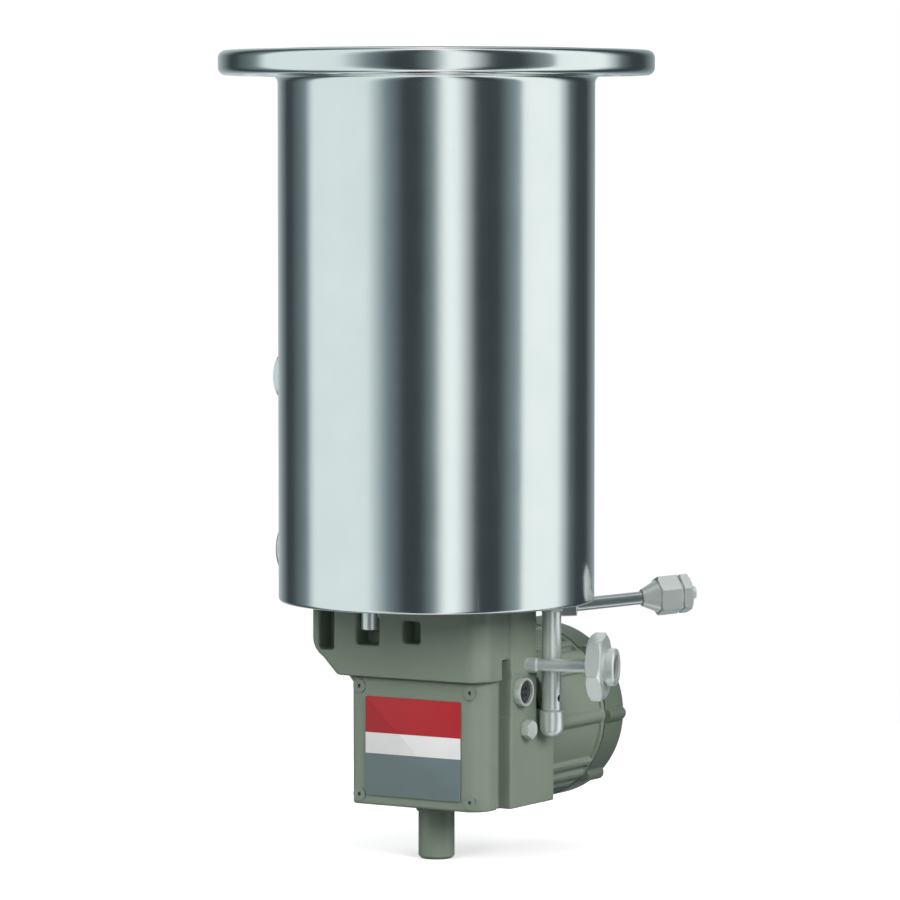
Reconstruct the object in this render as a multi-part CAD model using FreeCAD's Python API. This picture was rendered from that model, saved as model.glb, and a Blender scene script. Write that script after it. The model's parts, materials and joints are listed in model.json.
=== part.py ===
import FreeCAD, Part
import math
import os

os.makedirs("parts", exist_ok=True)

Vector = FreeCAD.Vector

# A cryopump with its cold head. Millimetres. The origin is the centre of the inlet
# flange's sealing face and +Z leaves the inlet. The label faces -Y, the motor +Y.

# Inlet flange
flange_edge = 19.05
flange_thickness = 16.0
bolt_offset = 19.05
flange_bolt_hole = 22.4
flange_bolt_count = 8
flange_hub_fillet = 5.0
flange_rim_chamfer = 3.6
seal_cord = 5.0
seal_offset = 4.4
seal_groove_width = 6.4
seal_groove_depth = 4.2

# Vessel
vessel_diameter = 203.2
vessel_wall = 3.0
vessel_depth = 353.0
vessel_edge_round = 2.4
base_thickness = 8.0
base_hole = 57.0
weld_gap = 0.1

# Ports on the vessel wall
roughing_bearing = 162.5
roughing_rise = 26.0
roughing_length = 30.0
roughing_bore = 41.0
roughing_tube = 44.5
roughing_rim = 55.0
roughing_rim_thickness = 3.0
roughing_rim_taper = 4.0
instrument_bearing = 180.0
instrument_rise = 142.0
instrument_length = 13.4
instrument_bore = 16.0
instrument_tube = 20.0
instrument_rim = 34.0
instrument_rim_thickness = 6.0
feedthrough_plate = 4.0
feedthrough_pin = 1.6
feedthrough_pin_length = 9.0
feedthrough_pin_circle = 9.0

# Radiation shield and louvres
shield_gap = 6.6
shield_wall = 1.5
shield_depth = 25.0
louvre_depth = 34.0
louvre_height = 16.0
louvre_sheet = 1.2
louvre_count = 4
louvre_inner = 14.0
louvre_edge_gap = 3.32
louvre_spread = 16.0
strut_height = 8.0
strut_thickness = 2.0

# Cylinders and heat stations of the cold head
first_cylinder_bore = 50.0
first_cylinder_wall = 1.0
first_cylinder_length = 148.0
first_station_thickness = 12.0
first_station_diameter = 72.0
second_cylinder_bore = 24.4
second_cylinder_wall = 0.8
second_cylinder_length = 89.0
second_station_thickness = 10.0
second_station_diameter = 40.0
cold_flange_diameter = 72.0
cold_flange_thickness = 10.0
cold_seal_cord = 2.4
cold_seal_circle = 64.4
cold_seal_groove = 3.2
sensor_diameter = 8.0
sensor_length = 7.0
sensor_inset = 5.0
small_sensor_diameter = 4.8
small_sensor_length = 6.0

# Second-stage array
array_plate_diameter = 80.0
array_sheet = 1.5
array_strip_offset = 28.0
array_strip_thickness = 2.0
array_strip_width = 16.0
array_ring_count = 5
array_ring_pitch = 17.0
array_clearance = 26.5
array_first_drop = 4.0
array_ring_drop = 11.0
array_ring_sheet = 1.0
charcoal_thickness = 0.8
array_fit = 0.2

# Displacers and drive
stroke = 22.0
end_clearance = 0.8
running_clearance = 0.05
open_gap = 0.3
displacer_wall = 3.5
displacer_cap = 6.0
displacer_seal_height = 5.0
displacer_seal_depth = 1.4
second_displacer_wall = 2.6
link_length = 6.0
link_diameter = 8.0
guide_rod = 12.0
lower_rod = 10.0
crank_drop = 83.0
crank_pin = 8.0
crank_web = 38.0
crank_web_front = 14.0
crank_web_thickness = 8.0
crank_cheek = 5.0
roller_diameter = 16.0
roller_width = 11.0
yoke_thickness = 12.4
yoke_width = 54.0
yoke_height = 30.0
yoke_corner = 6.0
slot_spare = 1.0
shaft_diameter = 15.0
bearing_diameter = 32.0
bearing_width = 9.0
bush_wall = 3.0
valve_diameter = 30.0
valve_thickness = 6.0
valve_plate_thickness = 6.0
valve_rim = 3.0
valve_gap = 0.1
valve_port = 5.0
valve_port_circle = 16.0

# Crankcase casting
bell_diameter = 160.0
bell_side = 25.0
bell_foot_diameter = 114.0
bell_height = 56.0
bell_knee_in = 7.0
bell_knee_drop = 12.0
bell_knee_middle_in = 1.7
bell_knee_middle_drop = 6.5
bell_front = -38.0
bell_right = 57.0
bell_corner = 13.0
band_height = 48.0
case_left = -44.0
case_right = 60.0
case_neck = 50.0
case_neck_depth = 6.0
case_back = 48.0
case_height = 131.0
case_top_drop = 42.0
riser_left = 20.0
riser_back = 26.0
ledge_drop = 72.0
notch_left = 34.0
case_wall = 8.0
cavity_left = -32.0
cavity_right = 42.0
cavity_back = 30.0
cavity_drop = 51.0
pocket_depth = 15.0
pocket_top_drop = 4.0
pocket_floor_drop = 28.0
pocket_margin = 2.0
pocket_round = 3.0
screw_circle = 86.0
screw_shank = 8.0
screw_head = 13.0
screw_head_height = 8.0
screw_standing = 12.0
screw_engagement = 6.0

# Front cover and label
cover_front = -34.0
cover_back = -12.0
cover_right = 54.0
cover_left_round = 5.0
cover_right_round = 14.0
cover_wall = 5.0
cover_screw = 5.0
cover_screw_head = 9.0
cover_screw_inset = 6.5
cover_screw_length = 26.0
label_width = 71.5
label_height = 64.0
label_thickness = 0.6
label_centre_x = 3.5
label_lowering = 3.0
label_corner = 1.5

# Guide cap
cap_diameter = 23.4
cap_collar = 26.0
cap_collar_height = 5.0
cap_neck = 21.8
cap_neck_height = 1.6
cap_length = 36.0
cap_bore = 14.0
cap_floor = 4.0
cap_chamfer = 1.8
cap_groove_drop = 1.2
cap_step = 0.8
rod_end_gap = 3.0

# Motor
motor_diameter = 108.0
motor_wall = 4.5
motor_length = 70.0
end_bell_length = 30.0
end_bell_overhang = 4.0
end_bell_wall = 6.0
end_bell_round = 10.0
rib_height = 3.0
rib_width = 4.5
rib_spread = 11.0
rib_end_gap = 3.0
stator_bore = 52.0
stator_length = 48.0
stator_offset = 8.0
air_gap = 0.5
rotor_length = 44.0
winding_height = 7.0
winding_wall = 12.0
motor_screw = 4.0
motor_screw_head = 7.0
motor_screw_count = 8
motor_screw_start = 0.0
motor_screw_length = 18.0
lug_diameter = 9.0
lug_offset = 3.5
motor_fit = 0.1

# Helium couplings
coupling_stem = 8.0
coupling_stem_length = 41.0
coupling_boss = 10.0
coupling_boss_length = 8.0
coupling_hex = 39.0
coupling_hex_length = 10.0
coupling_nose = 24.0
coupling_nose_length = 7.0
coupling_bore = 15.5
coupling_bore_depth = 14.0
coupling_recess = 2.5
poppet_thickness = 4.0
supply_bearing = 18.0
supply_side = 15.0
supply_drop = 40.0
return_bearing = 125.0
return_drop = 25.0
return_side = -33.6

# Relief valve
relief_offset = 8.6
relief_y = 29.6
relief_diameter = 12.5
relief_length = 70.0
relief_bore = 9.0
relief_orifice = 5.0
relief_seat = 18.0
relief_poppet_length = 10.0
relief_cap = 15.5
relief_cap_length = 17.0
relief_cap_round = 6.0
relief_vent = 4.0
relief_spigot = 4.0

# Purge line
purge_bearing = 50.0
purge_tilt = 4.0
purge_drop = 6.5
purge_tube = 8.5
purge_tube_bore = 6.0
purge_inset = 21.6
purge_block = 14.0
purge_block_height = 12.6
purge_tube_length = 39.1
purge_hex = 23.0
purge_taper_length = 10.5
purge_hex_length = 22.0
purge_ring_place = 6.0
purge_ring_width = 1.5
purge_ring_depth = 2.0
purge_tip = 8.0
purge_tip_length = 5.0

# Socket and plug on the right side
socket_y = 5.0
socket_drop = 56.3
socket_diameter = 18.0
socket_bore = 15.0
socket_reach = 5.0
socket_floor = 1.5
socket_pin = 1.6
socket_pin_circle = 6.0
socket_insert_thickness = 1.5
plug_y = 11.0
plug_drop = 81.0
plug_hex = 11.0
plug_reach = 6.0

# Coil springs
spring_wire = 1.2
coupling_spring_turns = 2.5
relief_spring_turns = 8.0
spring_gap = 0.1
spring_steps = 10
spring_sides = 6

# Worked-out sizes
flange_bolt_circle = vessel_diameter + 2 * bolt_offset
flange_diameter = flange_bolt_circle + 2 * flange_edge
seal_circle = vessel_diameter + 2 * seal_offset
vessel_radius = vessel_diameter / 2
vessel_inner = vessel_radius - vessel_wall
base_bottom = -vessel_depth
hub_bottom = -flange_thickness - flange_hub_fillet
roughing_height = base_bottom + roughing_rise
roughing_reach = vessel_radius + roughing_length
instrument_height = base_bottom + instrument_rise
instrument_reach = vessel_radius + instrument_length
shield_outer = vessel_inner - shield_gap
shield_inner = shield_outer - shield_wall
shield_top = -shield_depth
louvre_top = -louvre_depth
louvre_bottom = louvre_top - louvre_height
louvre_thickness = louvre_sheet * 1.4
louvre_last = shield_inner - louvre_edge_gap - louvre_thickness - louvre_spread
louvre_pitch = (louvre_last - louvre_inner) / (louvre_count - 1)
first_bore = first_cylinder_bore / 2
second_bore = second_cylinder_bore / 2
cylinder_bottom = base_bottom
first_station_height = base_bottom + first_cylinder_length
first_station_top = first_station_height + first_station_thickness
second_station_height = first_station_top + second_cylinder_length
array_ring_outer = shield_inner - array_clearance
first_displacer_bottom = cylinder_bottom + end_clearance
first_displacer_length = first_station_height - cylinder_bottom - stroke - 2 * end_clearance
first_displacer_top = first_displacer_bottom + first_displacer_length
second_displacer_bottom = first_displacer_top + link_length
second_displacer_top = second_station_height - stroke - end_clearance
cold_flange_bottom = base_bottom - cold_flange_thickness
crank_height = base_bottom - crank_drop
yoke_centre = crank_height - stroke / 2
roller_radius = roller_diameter / 2
bearing_radius = bearing_diameter / 2
shaft_radius = shaft_diameter / 2
motor_radius = motor_diameter / 2
stator_radius = motor_radius - motor_wall - motor_fit
bell_foot = base_bottom - bell_height
band_bottom = base_bottom - band_height
case_bottom = base_bottom - case_height
case_top = base_bottom - case_top_drop
ledge_height = base_bottom - ledge_drop
cavity_ceiling = base_bottom - cavity_drop
pocket_top = base_bottom - pocket_top_drop
pocket_floor = base_bottom - pocket_floor_drop
label_centre_z = (band_bottom + case_bottom) / 2 - label_lowering
cap_bottom = case_bottom - cap_length
bell_start = case_back + motor_length
motor_end = bell_start + end_bell_length
stator_start = case_back + stator_offset
supply_height = base_bottom - supply_drop
return_height = base_bottom - return_drop
relief_x = case_right + relief_offset
purge_block_start = vessel_radius - purge_inset
purge_run = purge_inset + purge_tube_length - purge_block / 2
socket_z = base_bottom - socket_drop
plug_z = base_bottom - plug_drop
pocket_places = ((-60.0, 11.0), (-28.5, 17.0), (4.6, 13.0))


def cylinder(radius, length, base=(0, 0, 0), direction=(0, 0, 1)):
    """Round bar from base along direction."""
    return Part.makeCylinder(radius, length, Vector(*base), Vector(*direction))


def tube(outer, inner, length, base=(0, 0, 0), direction=(0, 0, 1)):
    """Round bar with a bore right through."""
    return cylinder(outer, length, base, direction).cut(cylinder(inner, length, base, direction))


def block(low, high):
    """Box between two corners."""
    size = [b - a for a, b in zip(low, high)]
    return Part.makeBox(size[0], size[1], size[2], Vector(*low))


def turned(start, *steps):
    """Solid of revolution about Z. A step is a point (radius, z) or a pair for an arc."""
    here = Vector(start[0], 0, start[1])
    first = here
    edges = []
    for step in steps:
        if isinstance(step[0], tuple):
            middle = Vector(step[0][0], 0, step[0][1])
            end = Vector(step[1][0], 0, step[1][1])
            edges.append(Part.Arc(here, middle, end).toShape())
        else:
            end = Vector(step[0], 0, step[1])
            edges.append(Part.LineSegment(here, end).toShape())
        here = end
    edges.append(Part.LineSegment(here, first).toShape())
    face = Part.Face(Part.Wire(edges))
    return face.revolve(Vector(0, 0, 0), Vector(0, 0, 1), 360)


def placed(shape, base, direction):
    """Moves a piece drawn along +Z so that it runs from base along direction."""
    turn = FreeCAD.Rotation(Vector(0, 0, 1), Vector(*direction))
    move = FreeCAD.Placement(Vector(*base), turn)
    copy = shape.copy()
    copy.Placement = move.multiply(copy.Placement)
    return copy


def hexagon(across_flats, length, z=0.0):
    """Hexagonal bar along +Z."""
    corner = across_flats / math.sqrt(3)
    points = []
    for index in range(7):
        angle = math.radians(60 * index)
        points.append(Vector(corner * math.cos(angle), corner * math.sin(angle), z))
    return Part.Face(Part.makePolygon(points)).extrude(Vector(0, 0, length))


def chamfered_hexagon(across_flats, length, z=0.0):
    """Hexagonal bar whose corners are turned off at both ends."""
    corner = across_flats / math.sqrt(3)
    flat = across_flats / 2
    rise = (corner - flat) * 0.6
    turning = turned((0, z), (flat, z), (corner, z + rise), (corner, z + length - rise),
                     (flat, z + length), (0, z + length))
    return hexagon(across_flats, length, z).common(turning)


def along_z(edge):
    """True for a straight upright edge."""
    ends = [vertex.Point for vertex in edge.Vertexes]
    if len(ends) != 2:
        return False
    return abs(ends[0].x - ends[1].x) < 1e-6 and abs(ends[0].y - ends[1].y) < 1e-6


def rounded(shape, radius, chosen):
    """Fillets the edges that the test picks."""
    edges = [edge for edge in shape.Edges if chosen(edge)]
    return shape.makeFillet(radius, edges)


def upright_edges_at(x=None, y=None):
    """Test for upright edges on a plane of constant x, y or both."""
    def chosen(edge):
        if not along_z(edge):
            return False
        point = edge.Vertexes[0].Point
        on_x = x is None or abs(point.x - x) < 1e-4
        on_y = y is None or abs(point.y - y) < 1e-4
        return on_x and on_y
    return chosen


def heading(degrees):
    """Level unit direction, counted from +X towards +Y."""
    angle = math.radians(degrees)
    return (math.cos(angle), math.sin(angle), 0.0)


def at_heading(degrees, reach, z):
    """Point at a distance from the axis."""
    way = heading(degrees)
    return (way[0] * reach, way[1] * reach, z)


def round_pattern(count, circle, start=0.0):
    """Centres of a ring of holes about Z."""
    for index in range(count):
        angle = math.radians(start + 360.0 * index / count)
        yield circle / 2 * math.cos(angle), circle / 2 * math.sin(angle)


def group(solids):
    """Separate solids that share one node."""
    return Part.makeCompound(solids)


def coil(radius, height, turns, base, direction):
    """Spring of faceted round wire between two level faces."""
    count = int(turns * spring_steps)
    half = spring_wire / 2
    rings = []
    for step in range(count + 1):
        around = 2 * math.pi * step / spring_steps
        middle = half + (height - spring_wire) * step / count
        ring = []
        for side in range(spring_sides):
            turn = 2 * math.pi * side / spring_sides
            reach = radius + half * math.cos(turn)
            ring.append(Vector(reach * math.cos(around), reach * math.sin(around),
                               middle + half * math.sin(turn)))
        rings.append(ring)
    faces = [Part.Face(Part.makePolygon(ring + ring[:1])) for ring in (rings[0], rings[-1])]
    for low, high in zip(rings, rings[1:]):
        for side in range(spring_sides):
            after = (side + 1) % spring_sides
            for corners in ((low[side], low[after], high[after]), (low[side], high[after], high[side])):
                faces.append(Part.Face(Part.makePolygon(corners + corners[:1])))
    wire = Part.makeSolid(Part.makeShell(faces))
    if wire.Volume < 0:
        wire.reverse()
    return placed(wire, base, direction)


def inlet_flange():
    """Bolting flange with a weld neck blended into the vessel."""
    rim = flange_diameter / 2
    chamfer = flange_rim_chamfer
    neck = vessel_radius + flange_hub_fillet
    bend = flange_hub_fillet * (1 - math.sqrt(0.5))
    body = turned((vessel_inner, 0), (rim - chamfer, 0), (rim, -chamfer),
                  (rim, chamfer - flange_thickness), (rim - chamfer, -flange_thickness),
                  (neck, -flange_thickness),
                  ((vessel_radius + bend, -flange_thickness - bend), (vessel_radius, hub_bottom)),
                  (vessel_inner, hub_bottom))
    middle = seal_circle / 2
    half = seal_groove_width / 2
    groove = tube(middle + half, middle - half, seal_groove_depth, (0, 0, -seal_groove_depth))
    body = body.cut(groove)
    for x, y in round_pattern(flange_bolt_count, flange_bolt_circle):
        body = body.cut(cylinder(flange_bolt_hole / 2, flange_thickness, (x, y, -flange_thickness)))
    return body


def inlet_seal():
    """Round-cord seal that stands a little proud of its groove."""
    lift = running_clearance + seal_cord / 2 - seal_groove_depth
    return Part.makeTorus(seal_circle / 2, seal_cord / 2, Vector(0, 0, lift))


def vessel_shell():
    """Rolled vessel wall with the openings of both ports."""
    round_off = vessel_edge_round
    bend = round_off * (1 - math.sqrt(0.5))
    shell = turned((vessel_inner, hub_bottom), (vessel_radius, hub_bottom),
                   (vessel_radius, base_bottom + round_off),
                   ((vessel_radius - bend, base_bottom + bend),
                    (vessel_radius - round_off, base_bottom)),
                   (vessel_inner, base_bottom))
    rough = cylinder(roughing_tube / 2, roughing_reach, (0, 0, roughing_height),
                     heading(roughing_bearing))
    sense = cylinder(instrument_tube / 2, instrument_reach, (0, 0, instrument_height),
                     heading(instrument_bearing))
    return shell.cut(rough).cut(sense)


def purge_way():
    """Direction of the purge tube, a little upward."""
    turn = math.radians(purge_tilt)
    level = heading(purge_bearing)
    return (level[0] * math.cos(turn), level[1] * math.cos(turn), math.sin(turn))


def purge_start():
    """Where the purge tube leaves the middle of its block."""
    return at_heading(purge_bearing, purge_block_start + purge_block / 2, base_bottom - purge_drop)


def purge_passage():
    """Upright hole through the base above the purge block."""
    middle = purge_block_start + purge_block / 2
    base = at_heading(purge_bearing, middle, base_bottom - purge_block_height / 2)
    return cylinder(purge_tube_bore / 2, base_thickness + purge_block_height, base)


def vessel_base():
    """Base plate with the cold head opening, the relief orifice and screw holes."""
    plate = tube(vessel_inner - weld_gap / 2, base_hole / 2, base_thickness, (0, 0, base_bottom))
    plate = plate.cut(cylinder(relief_orifice / 2, base_thickness, (relief_x, relief_y, base_bottom)))
    plate = plate.cut(purge_passage())
    for x, y in screw_centres():
        plate = plate.cut(cylinder(screw_shank / 2 + running_clearance, screw_engagement,
                                   (x, y, base_bottom)))
    return plate


def flanged_tube(bore, outer, rim, thickness, taper, start, reach):
    """Port tube along +Z whose clamp rim tapers at its back."""
    back = reach - thickness
    shape = turned((bore / 2, start), (outer / 2, start), (outer / 2, back - taper),
                   (rim / 2, back), (rim / 2, reach), (bore / 2, reach))
    return shape


def outside_vessel(shape):
    """Fish-mouths a port tube so that it ends on the vessel's outside."""
    inner = cylinder(vessel_radius + weld_gap, vessel_depth, (0, 0, base_bottom))
    return shape.cut(inner)


def roughing_port():
    """Clamp-flange port at the lower back left."""
    start = vessel_inner
    shape = flanged_tube(roughing_bore, roughing_tube, roughing_rim, roughing_rim_thickness,
                         roughing_rim_taper, start, roughing_reach)
    shape = placed(shape, (0, 0, roughing_height), heading(roughing_bearing))
    return outside_vessel(shape)


def instrument_port():
    """Short flanged port for the sensor wires."""
    shape = flanged_tube(instrument_bore, instrument_tube, instrument_rim,
                         instrument_rim_thickness, 0.5, vessel_inner,
                         instrument_reach - feedthrough_plate)
    shape = placed(shape, (0, 0, instrument_height), heading(instrument_bearing))
    return outside_vessel(shape)


def sensor_feedthrough():
    """Blank with a ring of sealed pins, on the instrument port."""
    start = instrument_reach - feedthrough_plate
    plate = cylinder(instrument_rim / 2, feedthrough_plate, (0, 0, start))
    plate = plate.fuse(cylinder(instrument_bore / 2 - array_fit, feedthrough_plate,
                                (0, 0, start - feedthrough_plate)))
    pins = []
    for x, y in round_pattern(4, feedthrough_pin_circle):
        hole = cylinder(feedthrough_pin / 2, feedthrough_plate * 2, (x, y, start - feedthrough_plate))
        plate = plate.cut(hole)
        pins.append(cylinder(feedthrough_pin / 2, feedthrough_pin_length,
                             (x, y, instrument_reach + 1.0 - feedthrough_pin_length)))
    pieces = group([plate] + pins)
    return placed(pieces, (0, 0, instrument_height), heading(instrument_bearing))


def radiation_shield():
    """Copper cup that stands on the first heat station."""
    outer = shield_outer
    inner = shield_inner
    floor = first_station_top
    hole = second_bore + second_cylinder_wall + open_gap
    return turned((hole, floor), (outer, floor), (outer, shield_top), (inner, shield_top),
                  (inner, floor + shield_wall), (hole, floor + shield_wall))


def inlet_louvres():
    """Nested cone rings that shade the inner array from the inlet."""
    rings = []
    for index in range(louvre_count):
        inner = louvre_inner + louvre_pitch * index
        outer = inner + louvre_spread
        rings.append(turned((inner, louvre_top), (inner + louvre_thickness, louvre_top),
                            (outer + louvre_thickness, louvre_bottom), (outer, louvre_bottom)))
    return group(rings)


def louvre_struts():
    """Crossed bars from wall to wall of the shield, notched into one piece."""
    reach = shield_inner - running_clearance
    low = louvre_bottom - strut_height
    half = strut_thickness / 2
    first = block((-reach, -half, low), (reach, half, louvre_bottom))
    second = block((-half, -reach, low), (half, reach, louvre_bottom))
    round_space = cylinder(reach, strut_height, (0, 0, low))
    return first.fuse(second).common(round_space)


def first_stage_cylinder():
    """Thin-walled lower cylinder from the cold head flange to the first station."""
    return tube(first_bore + first_cylinder_wall, first_bore,
                first_station_height - cylinder_bottom, (0, 0, cylinder_bottom))


def first_stage_station():
    """Copper ring that cools the shield."""
    return tube(first_station_diameter / 2, second_bore, first_station_thickness,
                (0, 0, first_station_height))


def second_stage_cylinder():
    """Thin-walled upper cylinder."""
    return tube(second_bore + second_cylinder_wall, second_bore,
                second_station_height - first_station_top, (0, 0, first_station_top))


def second_stage_station():
    """Copper cap on the upper cylinder that cools the array."""
    return cylinder(second_station_diameter / 2, second_station_thickness,
                    (0, 0, second_station_height))


def temperature_sensors():
    """Small canned diodes, one under each heat station."""
    reach = first_station_diameter / 2 - sensor_inset
    first = cylinder(sensor_diameter / 2, sensor_length,
                     (reach, 0, first_station_height - sensor_length))
    gap = (second_station_diameter / 2 + second_bore + second_cylinder_wall) / 2
    second = cylinder(small_sensor_diameter / 2, small_sensor_length,
                      (gap, 0, second_station_height - small_sensor_length))
    return group([first, second])


def array_bracket():
    """Top plate with two strips that carry the array rings."""
    top = second_station_height + second_station_thickness
    plate = cylinder(array_plate_diameter / 2, array_sheet, (0, 0, top))
    bottom = top - array_ring_pitch * array_ring_count
    outer = array_strip_offset
    inner = outer - array_strip_thickness
    half = array_strip_width / 2
    for low, high in ((inner, outer), (-outer, -inner)):
        plate = plate.fuse(block((low, -half, bottom), (high, half, top)))
    return plate


def array_cone(index, depth, thickness):
    """One sloping ring of the array, or the layer under it."""
    inner = math.hypot(array_strip_offset, array_strip_width / 2) + array_fit
    outer = array_ring_outer
    top = second_station_height + second_station_thickness - array_first_drop
    top = top - array_ring_pitch * index - depth
    low = top - array_ring_drop
    return turned((inner, top), (outer, low), (outer, low - thickness), (inner, top - thickness))


def array_rings():
    """Stack of sloping copper rings."""
    return group([array_cone(index, 0.0, array_ring_sheet) for index in range(array_ring_count)])


def charcoal_linings():
    """Charcoal glued under each ring."""
    layers = []
    for index in range(array_ring_count):
        layers.append(array_cone(index, array_ring_sheet, charcoal_thickness))
    return group(layers)


def cold_head_flange():
    """Flange that carries the cylinders and seals the vessel's base."""
    outer = cold_flange_diameter / 2
    shape = cylinder(outer, cold_flange_thickness, (0, 0, cold_flange_bottom))
    middle = cold_seal_circle / 2
    half = cold_seal_groove / 2
    depth = cold_seal_cord
    shape = shape.cut(tube(middle + half, middle - half, depth, (0, 0, base_bottom - depth)))
    return shape.cut(cylinder(guide_rod / 2 + running_clearance + bush_wall,
                              cold_flange_thickness, (0, 0, cold_flange_bottom)))


def cold_head_seal():
    """Round cord in the cold head flange's groove."""
    return Part.makeTorus(cold_seal_circle / 2, cold_seal_cord / 2 - 0.05,
                          Vector(0, 0, base_bottom - cold_seal_cord / 2))


def guide_bushes():
    """Bushes round the upper and the lower guide rod."""
    upper = guide_rod / 2 + running_clearance
    lower = lower_rod / 2 + running_clearance
    top = tube(upper + bush_wall, upper, cold_flange_thickness, (0, 0, cold_flange_bottom))
    bottom = tube(lower + bush_wall, lower, case_wall, (0, 0, case_bottom))
    return group([top, bottom])


def displacer_case(bore, wall, cap, bottom, top):
    """Hollow insulating piston with closed ends."""
    outer = bore - running_clearance
    inner = outer - wall
    shape = cylinder(outer, top - bottom, (0, 0, bottom))
    return shape.cut(cylinder(inner, top - bottom - 2 * cap, (0, 0, bottom + cap)))


def seal_band(bore, bottom):
    """Sliding seal ring let into a displacer."""
    outer = bore - running_clearance
    return tube(outer, outer - displacer_seal_depth, displacer_seal_height, (0, 0, bottom))


def first_displacer():
    """Lower piston with its seal groove."""
    case = displacer_case(first_bore, displacer_wall, displacer_cap, first_displacer_bottom,
                          first_displacer_top)
    return case.cut(seal_band(first_bore, first_displacer_bottom + displacer_seal_height))


def second_displacer():
    """Upper piston with its seal groove."""
    case = displacer_case(second_bore, second_displacer_wall, displacer_cap,
                          second_displacer_bottom, second_displacer_top)
    return case.cut(seal_band(second_bore, second_displacer_bottom + displacer_seal_height))


def displacer_seals():
    """Both seal rings."""
    return group([seal_band(first_bore, first_displacer_bottom + displacer_seal_height),
                  seal_band(second_bore, second_displacer_bottom + displacer_seal_height)])


def regenerator(bore, wall, bottom, top):
    """Matrix that fills a displacer."""
    radius = bore - running_clearance - wall - array_fit
    return cylinder(radius, top - bottom - 2 * displacer_cap, (0, 0, bottom + displacer_cap))


def first_regenerator():
    """Stack of bronze screens."""
    return regenerator(first_bore, displacer_wall, first_displacer_bottom, first_displacer_top)


def second_regenerator():
    """Column of lead shot."""
    return regenerator(second_bore, second_displacer_wall, second_displacer_bottom,
                       second_displacer_top)


def displacer_link():
    """Short link that hangs the upper piston on the lower one."""
    return cylinder(link_diameter / 2, link_length, (0, 0, first_displacer_top))


def yoke():
    """Scotch yoke: a slotted plate between two guide rods."""
    half_width = yoke_width / 2
    half_height = yoke_height / 2
    half_depth = yoke_thickness / 2
    plate = block((-half_width, -half_depth, yoke_centre - half_height),
                  (half_width, half_depth, yoke_centre + half_height))
    corners = [edge for edge in plate.Edges if edge.BoundBox.YLength > half_depth]
    plate = plate.makeFillet(yoke_corner, corners)
    slot_half = roller_radius + running_clearance
    slot_reach = stroke / 2 + slot_spare
    middle = block((-slot_reach, -half_depth, yoke_centre - slot_half),
                   (slot_reach, half_depth, yoke_centre + slot_half))
    slot = middle
    for side in (-slot_reach, slot_reach):
        slot = slot.fuse(cylinder(slot_half, yoke_thickness, (side, -half_depth, yoke_centre),
                                  (0, 1, 0)))
    plate = plate.cut(slot)
    upper_start = yoke_centre + half_height - 1.0
    upper = cylinder(guide_rod / 2, first_displacer_bottom - upper_start, (0, 0, upper_start))
    lower_end = cap_bottom + cap_floor + rod_end_gap
    lower_top = yoke_centre - half_height + 1.0
    lower = cylinder(lower_rod / 2, lower_top - lower_end, (0, 0, lower_end))
    return plate.fuse(upper).fuse(lower)


def yoke_roller():
    """Roller that runs along the yoke's slot."""
    return tube(roller_radius, crank_pin / 2 + running_clearance, roller_width,
                (0, -roller_width / 2, yoke_centre), (0, 1, 0))


def crankshaft():
    """Shaft with a web and a pin that stops short of the yoke."""
    centre = (0, crank_web_front, crank_height)
    web = cylinder(crank_web / 2, crank_web_thickness, centre, (0, 1, 0))
    trim = crank_web / 2
    cheek = shaft_radius + crank_cheek
    window = block((-cheek, crank_web_front, crank_height - trim),
                   (cheek, crank_web_front + crank_web_thickness, crank_height + trim))
    lower_round = cylinder(trim, crank_web_thickness, centre, (0, 1, 0))
    counterweight = block((-trim, crank_web_front, crank_height),
                          (trim, crank_web_front + crank_web_thickness, crank_height + trim))
    web = web.common(window).fuse(lower_round.common(counterweight))
    shaft_start = crank_web_front + crank_web_thickness
    shaft_end = motor_end - end_bell_wall - 1.5
    shaft = cylinder(shaft_radius - running_clearance, shaft_end - shaft_start,
                     (0, shaft_start, crank_height), (0, 1, 0))
    pin_end = yoke_thickness / 2 + open_gap
    pin = cylinder(crank_pin / 2, crank_web_front - pin_end, (0, pin_end, yoke_centre), (0, 1, 0))
    return web.fuse(shaft).fuse(pin)


def bearing(start):
    """Ball bearing as its outer ring with shields, bored for the shaft."""
    outer = bearing_radius
    ring = tube(outer, shaft_radius, bearing_width, (0, start, crank_height), (0, 1, 0))
    track = tube(outer - 3.2, shaft_radius + 2.6, 0.6, (0, start, crank_height), (0, 1, 0))
    return ring.cut(track)


def end_bearing_start():
    """Where the end bearing sits in the end bell."""
    return motor_end - end_bell_wall - bearing_width - 1.0


def shaft_bearings():
    """Bearing in the crankcase wall and bearing in the end bell."""
    return group([bearing(cavity_back), bearing(end_bearing_start())])


def valve_disc():
    """Rotary valve with its ports and a driving slot."""
    back = cover_front + cover_wall + valve_plate_thickness + valve_gap + valve_thickness
    base = (0, back - valve_thickness, crank_height)
    disc = cylinder(valve_diameter / 2, valve_thickness, base, (0, 1, 0))
    hub = cylinder(valve_diameter / 4, valve_rim, (0, back, crank_height), (0, 1, 0))
    disc = disc.fuse(hub)
    for side in (-1, 1):
        spot = (side * valve_port_circle / 2, base[1], crank_height)
        disc = disc.cut(cylinder(valve_port / 2, valve_thickness / 2, spot, (0, 1, 0)))
    slot = block((-1.6, back, crank_height - valve_diameter / 4),
                 (1.6, back + valve_rim, crank_height + valve_diameter / 4))
    return disc.cut(slot)


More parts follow.
